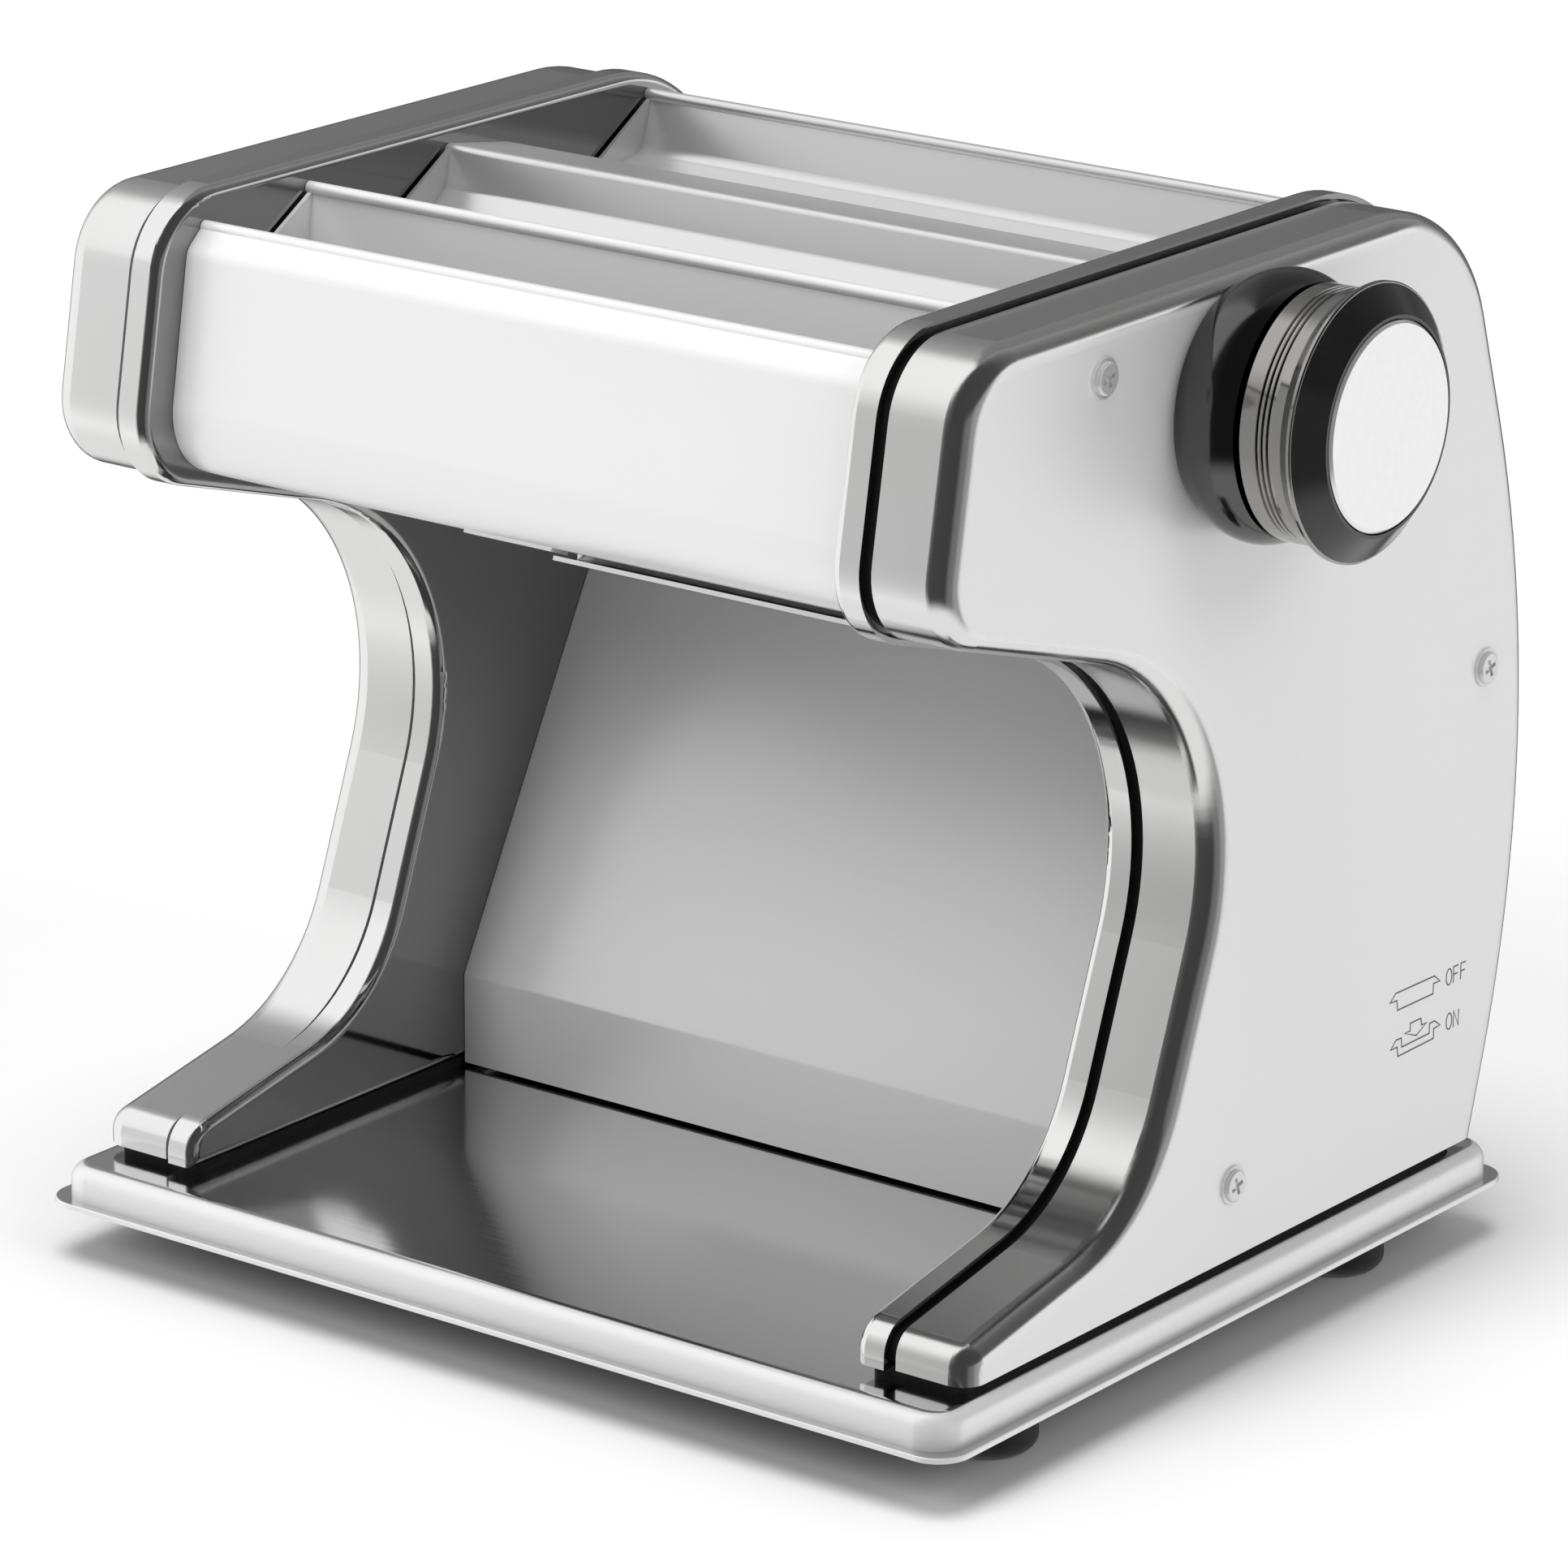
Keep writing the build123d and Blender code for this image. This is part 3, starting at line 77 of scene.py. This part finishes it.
# ---- shader writing ----
class Wire:
    # a node's output; sums and products of wires add Math nodes
    def __init__(self, sheet, socket):
        self.sheet = sheet
        self.socket = socket

    def maths(self, operation, first, second):
        return self.sheet.maths(operation, first, second)

    def __add__(self, other):
        return self.maths("ADD", self, other)

    def __radd__(self, other):
        return self.maths("ADD", other, self)

    def __sub__(self, other):
        return self.maths("SUBTRACT", self, other)

    def __rsub__(self, other):
        return self.maths("SUBTRACT", other, self)

    def __mul__(self, other):
        return self.maths("MULTIPLY", self, other)

    def __rmul__(self, other):
        return self.maths("MULTIPLY", other, self)

    def __truediv__(self, other):
        return self.maths("DIVIDE", self, other)

    def out(self, name):
        return Wire(self.sheet, self.socket.node.outputs[name])


class Sheet:
    # the nodes of one material or world
    def __init__(self, tree):
        self.tree = tree
        tree.nodes.clear()

    def add(self, kind, settings=None, sockets=None, out=0):
        node = self.tree.nodes.new(kind)
        for name, value in (settings or {}).items():
            if name == "stops":
                stops = node.color_ramp.elements
                stops.remove(stops[1])
                stops[0].position = value[0][0]
                stops[0].color = rgb(value[0][1])
                for place, grey in value[1:]:
                    stops.new(place).color = rgb(grey)
            else:
                setattr(node, name, value)
        for name, value in (sockets or {}).items():
            if isinstance(value, Wire):
                self.tree.links.new(value.socket, node.inputs[name])
            else:
                node.inputs[name].default_value = value
        return Wire(self, node.outputs[out]) if len(node.outputs) else None

    def place(self, stretch=(1, 1, 1)):
        # place on the object in metres, stretched along each axis
        spot = self.add("ShaderNodeTexCoord", out="Object")
        return self.add("ShaderNodeVectorMath", {"operation": "MULTIPLY"}, {0: spot, 1: stretch})

    def noise(self, scale, detail=3.0, rough=0.5, stretch=(1, 1, 1)):
        return self.add("ShaderNodeTexNoise", {}, {
            "Vector": self.place(stretch), "Scale": scale, "Detail": detail, "Roughness": rough})

    def between(self, wire, low, high):
        # values from low to high become 0 to 1, with soft ends
        return self.add("ShaderNodeMapRange", {"interpolation_type": "SMOOTHSTEP"}, {
            "Value": wire, "From Min": low, "From Max": high})

    def mixColour(self, factor, first, second):
        mix = self.add("ShaderNodeMix", {"data_type": "RGBA"}, {"Factor": factor, 6: first, 7: second})
        return Wire(self, mix.socket.node.outputs[2])

    def normal(self, axis):
        parts = self.add("ShaderNodeSeparateXYZ", {}, {0: self.add("ShaderNodeTexCoord", out="Normal")})
        return parts.out(axis)

    def flat(self, axis, low=0.93, high=0.985):
        # 1 on flat faces square to the axis, 0 on the rounded edges around them
        return self.between(self.maths("ABSOLUTE", self.normal(axis)), low, high)

    def maths(self, operation, first, second=None):
        values = {0: first} if second is None else {0: first, 1: second}
        return self.add("ShaderNodeMath", {"operation": operation}, values)

    def bump(self, height, strength, distance):
        return self.add("ShaderNodeBump", {}, {"Height": height, "Strength": strength, "Distance": distance})


def rgb(value, tint=(1, 1, 1)):
    return (value * tint[0], value * tint[1], value * tint[2], 1)


materials = {}


def finish(name, recipe):
    # a material whose recipe gives the Principled sockets
    material = bpy.data.materials.new(name)
    material.use_nodes = True
    sheet = Sheet(material.node_tree)
    shader = sheet.add("ShaderNodeBsdfPrincipled", {}, recipe(sheet))
    sheet.add("ShaderNodeOutputMaterial", {}, {"Surface": shader})
    materials[name] = material


# ---- steel ----
polish = {
    "grey": 0.86,
    "smear": 0.04,
    "grain": 0.03,
    "wallRoughness": 0.13,      # rounded walls of the covers
    "shellRoughness": 0.06,     # rims of the inner shells
    "face": 0.84,               # the big faces of the covers
    "faceRoughness": 0.34,
    "faceMetal": 0.2,
    "throatShadeGrey": 0.3,           # the inner shells' flat faces in the throat, darkened: painted shade and painted dark reflection
}


def mirrorParts(sheet, roughness):
    # tone and roughness of the mirror polish, with faint smears of wiping
    tone = sheet.between(sheet.noise(9, 4, 0.6), 0.3, 0.7)
    grain = sheet.noise(900, 2, 0.6, (1, 0.04, 1))
    colour = sheet.mixColour(tone, rgb(polish["grey"]), rgb(polish["grey"] * 0.96, (1, 0.995, 0.985)))
    gloss = roughness + tone * polish["smear"] + grain * polish["grain"]
    return colour, gloss, sheet.bump(sheet.noise(22, 1, 0.4), 0.1, 0.0005)


def polishedSteel(sheet):
    colour, gloss, ripple = mirrorParts(sheet, polish["shellRoughness"])
    # the flat faces get a dark grey base: painted shade and painted dark reflection of the throat
    colour = sheet.mixColour(sheet.flat("X"), colour, rgb(polish["throatShadeGrey"]))
    return {"Base Color": colour, "Metallic": 1.0, "Roughness": gloss, "Normal": ripple}


def coverSteel(sheet):
    # mirror bright on the rounded edges and softly brushed on the big side face
    colour, gloss, ripple = mirrorParts(sheet, polish["wallRoughness"])
    face = sheet.flat("X")
    return {
        "Base Color": sheet.mixColour(face, colour, rgb(polish["face"])),
        "Metallic": 1 - face * (1 - polish["faceMetal"]),
        "Roughness": gloss * (1 - face) + face * polish["faceRoughness"],
        "Normal": ripple,
    }


finish("polishedSteel", polishedSteel)
finish("coverSteel", coverSteel)

panels = {
    "brightPanel": {"grey": 0.95, "smearGrey": 0.893, "metal": 0.22, "roughness": 0.28, "smear": 0.06},
    "greyPanel": {"grey": 0.84, "smearGrey": 0.78, "metal": 0.7, "roughness": 0.25, "smear": 0.08},
}


def makePanel(name, setup):
    # thin sheet of the front panel, the dividers, the feed plate and the ramp
    def recipe(sheet):
        smear = sheet.noise(12, 3, 0.5, (0.3, 1, 1))
        return {
            "Base Color": sheet.mixColour(smear, rgb(setup["grey"]), rgb(setup["smearGrey"])),
            "Metallic": setup["metal"],
            "Roughness": setup["roughness"] + smear * setup["smear"],
            "Normal": sheet.bump(sheet.noise(30, 1, 0.4), 0.06, 0.0004),
        }
    finish(name, recipe)


for name, setup in panels.items():
    makePanel(name, setup)

traySatin = {
    "wall": 0.93, "wallRoughness": 0.34, "metal": 0.45,
    "top": 0.72, "topRoughness": 0.1,
    "underside": 0.03,          # painted shade: the downward faces are made near black, which keeps the shadow below the rim dark
    "grain": 0.06,
}


def satinSteel(sheet):
    # satin walls and rim around a brighter polished floor
    grain = sheet.noise(700, 3, 0.6, (0.03, 1, 1))
    cloud = sheet.noise(14, 3, 0.5)
    top = sheet.flat("Z")
    # faces that point down get a near-black colour: painted shade under the tray
    under = sheet.between(0 - sheet.normal("Z"), 0.3, 0.8)
    level = sheet.mixColour(under, rgb(traySatin["top"]), rgb(traySatin["underside"]))
    wall = sheet.mixColour(cloud, rgb(traySatin["wall"]), rgb(traySatin["wall"] * 0.93))
    roughness = traySatin["wallRoughness"] * (1 - top) + top * traySatin["topRoughness"]
    return {
        "Base Color": sheet.mixColour(top, wall, level),
        "Metallic": traySatin["metal"] + top * (1 - traySatin["metal"]),
        "Roughness": roughness + grain * traySatin["grain"],
        "Normal": sheet.bump(grain, 0.05, 0.0002),
    }


finish("satinSteel", satinSteel)

turned = {"grey": 0.6, "roughness": 0.2}


def turnedSteel(sheet):
    rings = sheet.noise(1500, 2, 0.5, (1, 0.02, 0.02))
    return {
        "Base Color": sheet.mixColour(rings, rgb(turned["grey"]), rgb(turned["grey"] * 0.75)),
        "Metallic": 1.0,
        "Roughness": turned["roughness"] + rings * 0.15,
        "Normal": sheet.bump(rings, 0.1, 0.0002),
    }


finish("turnedSteel", turnedSteel)


def oiledSteel(sheet):
    film = sheet.noise(60, 4, 0.6)
    return {
        "Base Color": sheet.mixColour(film, rgb(0.42), rgb(0.3, (1, 0.95, 0.85))),
        "Metallic": 1.0,
        "Roughness": 0.2 + film * 0.25,
        "Normal": sheet.bump(sheet.noise(900, 2), 0.08, 0.0002),
    }


finish("oiledSteel", oiledSteel)


def zincSteel(sheet):
    spangle = sheet.noise(120, 3, 0.7)
    return {
        "Base Color": sheet.mixColour(spangle, rgb(0.5, (0.98, 0.99, 1)), rgb(0.62, (0.98, 0.99, 1))),
        "Metallic": 1.0,
        "Roughness": 0.32 + spangle * 0.15,
    }


finish("zincSteel", zincSteel)


def screwSteel(sheet):
    wear = sheet.noise(800, 3)
    return {
        "Base Color": sheet.mixColour(wear, rgb(0.8), rgb(0.7)),
        "Metallic": 0.5,
        "Roughness": 0.24 + wear * 0.12,
    }


finish("screwSteel", screwSteel)


def bronze(sheet):
    pores = sheet.noise(1800, 2)
    return {
        "Base Color": sheet.mixColour(pores, rgb(0.55, (1, 0.72, 0.38)), rgb(0.4, (1, 0.72, 0.38))),
        "Metallic": 1.0,
        "Roughness": 0.3 + pores * 0.2,
        "Normal": sheet.bump(pores, 0.2, 0.0002),
    }


finish("bronze", bronze)

# ---- knob ----
smoked = {"grey": 0.13, "hazeGrey": 0.1105, "roughness": 0.1}


def smokedChrome(sheet):
    haze = sheet.noise(30, 3)
    return {
        "Base Color": sheet.mixColour(haze, rgb(smoked["grey"], (1, 0.97, 0.95)), rgb(smoked["hazeGrey"])),
        "Metallic": 1.0,
        "Roughness": smoked["roughness"] + haze * 0.04,
    }


finish("smokedChrome", smokedChrome)


def knobChrome(sheet):
    haze = sheet.noise(30, 3)
    return {
        "Base Color": sheet.mixColour(haze, rgb(0.42, (1, 0.985, 0.97)), rgb(0.36, (1, 0.985, 0.97))),
        "Metallic": 1.0,
        "Roughness": 0.09 + haze * 0.05,
    }


finish("knobChrome", knobChrome)


def glossBlack(sheet):
    dust = sheet.noise(1400, 2)
    return {
        "Base Color": sheet.mixColour(dust, rgb(0.006), rgb(0.012)),
        "Roughness": 0.14 + dust * 0.06,
        "Coat Weight": 0.4,
    }


finish("glossBlack", glossBlack)


def capSteel(sheet):
    turning = sheet.noise(500, 2)
    return {
        "Base Color": sheet.mixColour(turning, rgb(0.96), rgb(0.92)),
        "Metallic": 0.8,
        "Roughness": 0.2 + turning * 0.06,
    }


finish("capSteel", capSteel)


# ---- rubber, plastic and paint ----
def blackRubber(sheet):
    pores = sheet.noise(1100, 3)
    return {
        "Base Color": sheet.mixColour(pores, rgb(0.012), rgb(0.025)),
        "Roughness": 0.62 + pores * 0.2,
        "Normal": sheet.bump(pores, 0.25, 0.0003),
    }


finish("blackRubber", blackRubber)


def blackPlastic(sheet):
    pores = sheet.noise(1600, 2)
    return {
        "Base Color": sheet.mixColour(pores, rgb(0.012), rgb(0.02)),
        "Roughness": 0.4 + pores * 0.12,
        "Normal": sheet.bump(pores, 0.15, 0.0002),
    }


finish("blackPlastic", blackPlastic)


def motorPaint(sheet):
    peel = sheet.noise(500, 2)
    return {
        "Base Color": sheet.mixColour(peel, rgb(0.03), rgb(0.045)),
        "Roughness": 0.35 + peel * 0.1,
        "Normal": sheet.bump(peel, 0.2, 0.0003),
    }


finish("motorPaint", motorPaint)

looks = {
    "polished_steel": "polishedSteel", "tray_steel": "satinSteel", "rear_panel_steel": "satinSteel",
    "black_rubber": "blackRubber", "black_plastic": "blackPlastic", "screw_steel": "screwSteel",
    "zinc_steel": "zincSteel", "roller_steel": "turnedSteel", "comb_steel": "turnedSteel",
    "gear_steel": "oiledSteel", "shaft_steel": "turnedSteel", "motor_paint": "motorPaint",
    "dark_chrome": "smokedChrome", "black_gloss": "glossBlack", "knob_cap_chrome": "capSteel",
    "button_plastic": "glossBlack", "bronze": "bronze",
}
ownLooks = {                    # nodes that don't take the finish of their slot
    "front_cover": "brightPanel", "divider_front": "brightPanel", "divider_middle": "greyPanel",
    "rear_feed_plate": "greyPanel", "delivery_ramp": "brightPanel", "knob_body": "knobChrome",
    "left_outer_cover": "coverSteel", "right_outer_cover": "coverSteel",
}
for part in frame["record"]["subparts"]:
    wanted = ownLooks.get(part["node"], looks[part["material_slot"]])
    for slot in nodes[part["node"]].material_slots:
        slot.material = materials[wanted]
print("finishes made")


# ---- on and off marks beside the power switch ----
marks = {
    "corner": (0.1699, 0.0283),         # metres back and up from the lower front corner of the cover
    "lineWidth": 0.00032,
    "lineHeight": 0.00005,
    "released": [(1.4, 15.3), (17.3, 15.1), (19.7, 13.3), (17.0, 13.4), (17.0, 11.0), (2.4, 11.1),
                 (2.0, 13.5), (-0.8, 13.6)],
    "pressed": [(0.0, 2.3), (2.2, 4.1), (4.3, 4.0), (4.6, 1.8), (15.9, 1.9), (15.9, 4.2), (17.9, 4.3),
                (20.3, 2.7), (17.7, 2.5), (17.7, 0.2), (3.1, 0.0), (2.7, 2.3)],
    "arrow": [(7.9, 6.5), (12.2, 6.5), (12.6, 4.8), (14.6, 4.8), (10.5, 2.9), (5.6, 4.7), (7.9, 4.7)],
    "letterHeight": 3.8,
    "letterWidth": 2.3,
    "letterPitch": 3.0,
    "roundSteps": 28,
    "armShare": 0.85,                   # widths and a height of strokes, as shares of the letter's
    "barShare": 0.75,
    "barHeight": 0.52,
    "cornerShare": 0.9,
    "offStart": (22.3, 11.3),           # lower left corner of each word, in millimetres
    "onStart": (22.9, 0.6),
}


def ribbon(mesh, points, closed, setup):
    # a raised line through the points, mitred at its corners
    half, height = setup["lineWidth"] / 2, setup["lineHeight"]
    count = len(points)
    rails = []
    for i, point in enumerate(points):
        before = points[i - 1] if closed or i else point
        after = points[(i + 1) % count] if closed or i < count - 1 else point
        incoming = (point - before).normalized() if before != point else (after - point).normalized()
        outgoing = (after - point).normalized() if after != point else incoming
        along = (incoming + outgoing).normalized()
        side = Vector((-along.y, along.x))
        reach = half / max(side.dot(Vector((-incoming.y, incoming.x))), 0.5)
        left, right = point + side * reach, point - side * reach
        rails.append([mesh.verts.new((height * up, spot.x, spot.y))
                      for spot, up in ((left, 0), (left, 1), (right, 1), (right, 0))])
    pairs = zip(rails, rails[1:] + rails[:1]) if closed else zip(rails, rails[1:])
    for first, second in pairs:
        for i in range(4):
            j = (i + 1) % 4
            mesh.faces.new((first[i], first[j], second[j], second[i]))
    if not closed:
        mesh.faces.new(rails[0])
        mesh.faces.new(list(reversed(rails[-1])))


def letterLines(letter, setup):
    width, height = setup["letterWidth"], setup["letterHeight"]
    if letter == "O":
        steps = setup["roundSteps"]
        turns = [2 * pi * i / steps for i in range(steps)]
        return [([((1 + cos(a)) * width / 2, (1 + sin(a)) * height / 2) for a in turns], True)]
    if letter == "F":
        bar = height * setup["barHeight"]
        return [([(0, 0), (0, height), (width * setup["armShare"], height)], False),
                ([(0, bar), (width * setup["barShare"], bar)], False)]
    edge = width * setup["cornerShare"]
    return [([(0, 0), (0, height), (edge, 0), (edge, height)], False)]


def makeMarks(setup):
    low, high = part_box("right_outer_cover")
    mesh = bmesh.new()
    lines = [(setup[name], True) for name in ("released", "pressed", "arrow")]
    for word, start in (("OFF", setup["offStart"]), ("ON", setup["onStart"])):
        for i, letter in enumerate(word):
            for points, closed in letterLines(letter, setup):
                moved = [(start[0] + i * setup["letterPitch"] + x, start[1] + z) for x, z in points]
                lines.append((moved, closed))
    for points, closed in lines:
        ribbon(mesh, [Vector(point) / 1000 for point in points], closed, setup)
    bmesh.ops.recalc_face_normals(mesh, faces=mesh.faces)
    data = bpy.data.meshes.new("switch_marks")
    mesh.to_mesh(data)
    mesh.free()
    piece = bpy.data.objects.new("switch_marks", data)
    back, up = setup["corner"]
    place = Vector((high[0], low[1] + back, low[2] + up))
    data.transform(Matrix.Translation(place))
    scene.collection.objects.link(piece)
    data.materials.append(materials["markInk"])
    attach(piece, "machine")


def markInk(sheet):
    wear = sheet.noise(900, 2)
    return {"Base Color": sheet.mixColour(wear, rgb(0.07), rgb(0.12)), "Roughness": 0.5 + wear * 0.1}


finish("markInk", markInk)
makeMarks(marks)
print("marks made")


# ---- studio ----
studio = {
    "floorSize": 30.0,
    "floorGrey": 0.97,
    "fill": 0.36,             # light that comes evenly from everywhere
    "suns": {                 # turns and spreads in degrees
        "softSun": {"strength": 1.55, "spread": 35.0, "turn": (10, 6, -20)},
        "frontScreen": {"strength": 0.75, "spread": 30.0, "turn": (52, 0, -14)},
        "sideScreen": {"strength": 0.5, "spread": 30.0, "turn": (0, 56, 0)},
    },
}


def makeFloor(setup):
    half = setup["floorSize"] / 2
    mesh = bpy.data.meshes.new("floor")
    corners = [(-half, -half, 0), (half, -half, 0), (half, half, 0), (-half, half, 0)]
    mesh.from_pydata(corners, [], [(0, 1, 2, 3)])
    floor = bpy.data.objects.new("floor", mesh)
    scene.collection.objects.link(floor)
    material = bpy.data.materials.new("floorPaint")
    material.use_nodes = True
    sheet = Sheet(material.node_tree)
    shader = sheet.add("ShaderNodeBsdfDiffuse", {}, {"Color": rgb(setup["floorGrey"])})
    sheet.add("ShaderNodeOutputMaterial", {}, {"Surface": shader})
    mesh.materials.append(material)
    floor.visible_glossy = False


# what polished metal sees around it, as pairs of degrees and brightness: degrees run from the front
# towards the knob side
surroundings = {
    "level": [(-180, 0.15), (-150, 0.12), (-128, 0.2), (-112, 0.6), (-98, 1), (-48, 1), (-36, 0.62),
              (-22, 0.06), (50, 0.05), (62, 0.16), (80, 0.18), (90, 0.32), (118, 0.38), (130, 0.96),
              (154, 0.95), (168, 0.4), (180, 0.15)],
    "above": [(-180, 0.2), (-143, 0.22), (-118, 0.42), (-100, 1), (-42, 1), (-25, 0.1), (0, 0.05),
              (120, 0.06), (150, 0.14), (180, 0.3)],
    "horizon": (0.2, 0.31),             # heights between which the level ring turns into the upper one
    "farDirection": (-0.576, 0.758, -0.305),
    "farEdge": (0.86, 0.96),
    "farDark": 0.12,                    # the far side of the room, which thin dark outlines come from
    "floorLight": 0.85,
    "floorEdge": (-0.5, -0.75),         # heights between which the floor's light comes in
}


def ring(sheet, turn, stops):
    # brightness around the room, as one number
    places = [(degrees / 360 + 0.5, grey) for degrees, grey in stops]
    return sheet.add("ShaderNodeValToRGB", {"stops": places}, {0: turn}) * 1


def makeWorld(setup, around):
    world = bpy.data.worlds.new("studio")
    scene.world = world
    world.use_nodes = True
    sheet = Sheet(world.node_tree)
    direction = sheet.add("ShaderNodeTexCoord", out="Generated")
    parts = sheet.add("ShaderNodeSeparateXYZ", {}, {0: direction})
    x, y, z = parts.out("X"), parts.out("Y"), parts.out("Z")
    turn = sheet.maths("ARCTAN2", x, 0 - y) / (2 * pi) + 0.5
    level = ring(sheet, turn, around["level"])
    above = ring(sheet, turn, around["above"])
    rise = sheet.between(z, *around["horizon"])
    room = level * (1 - rise) + above * rise
    farX, farY, farZ = around["farDirection"]
    far = sheet.between(x * farX + y * farY + z * farZ, *around["farEdge"])
    room = room * (1 - far) + far * around["farDark"]
    below = sheet.between(z, *around["floorEdge"])
    room = room * (1 - below) + below * around["floorLight"]
    path = sheet.add("ShaderNodeLightPath")
    glossy = path.out("Is Glossy Ray")
    camera = path.out("Is Camera Ray")
    strength = setup["fill"] * (1 - glossy) + room * glossy
    strength = strength * (1 - camera) + camera
    light = sheet.add("ShaderNodeBackground", {}, {"Color": (1, 1, 1, 1), "Strength": strength})
    sheet.add("ShaderNodeOutputWorld", {}, {"Surface": light})


def makeSun(name, setup):
    data = bpy.data.lights.new(name, "SUN")
    data.energy = setup["strength"]
    data.angle = radians(setup["spread"])
    sun = bpy.data.objects.new(name, data)
    sun.rotation_euler = [radians(angle) for angle in setup["turn"]]
    sun.visible_glossy = False
    scene.collection.objects.link(sun)


makeFloor(studio)
makeWorld(studio, surroundings)
for name, setup in studio["suns"].items():
    makeSun(name, setup)
print("studio lit")
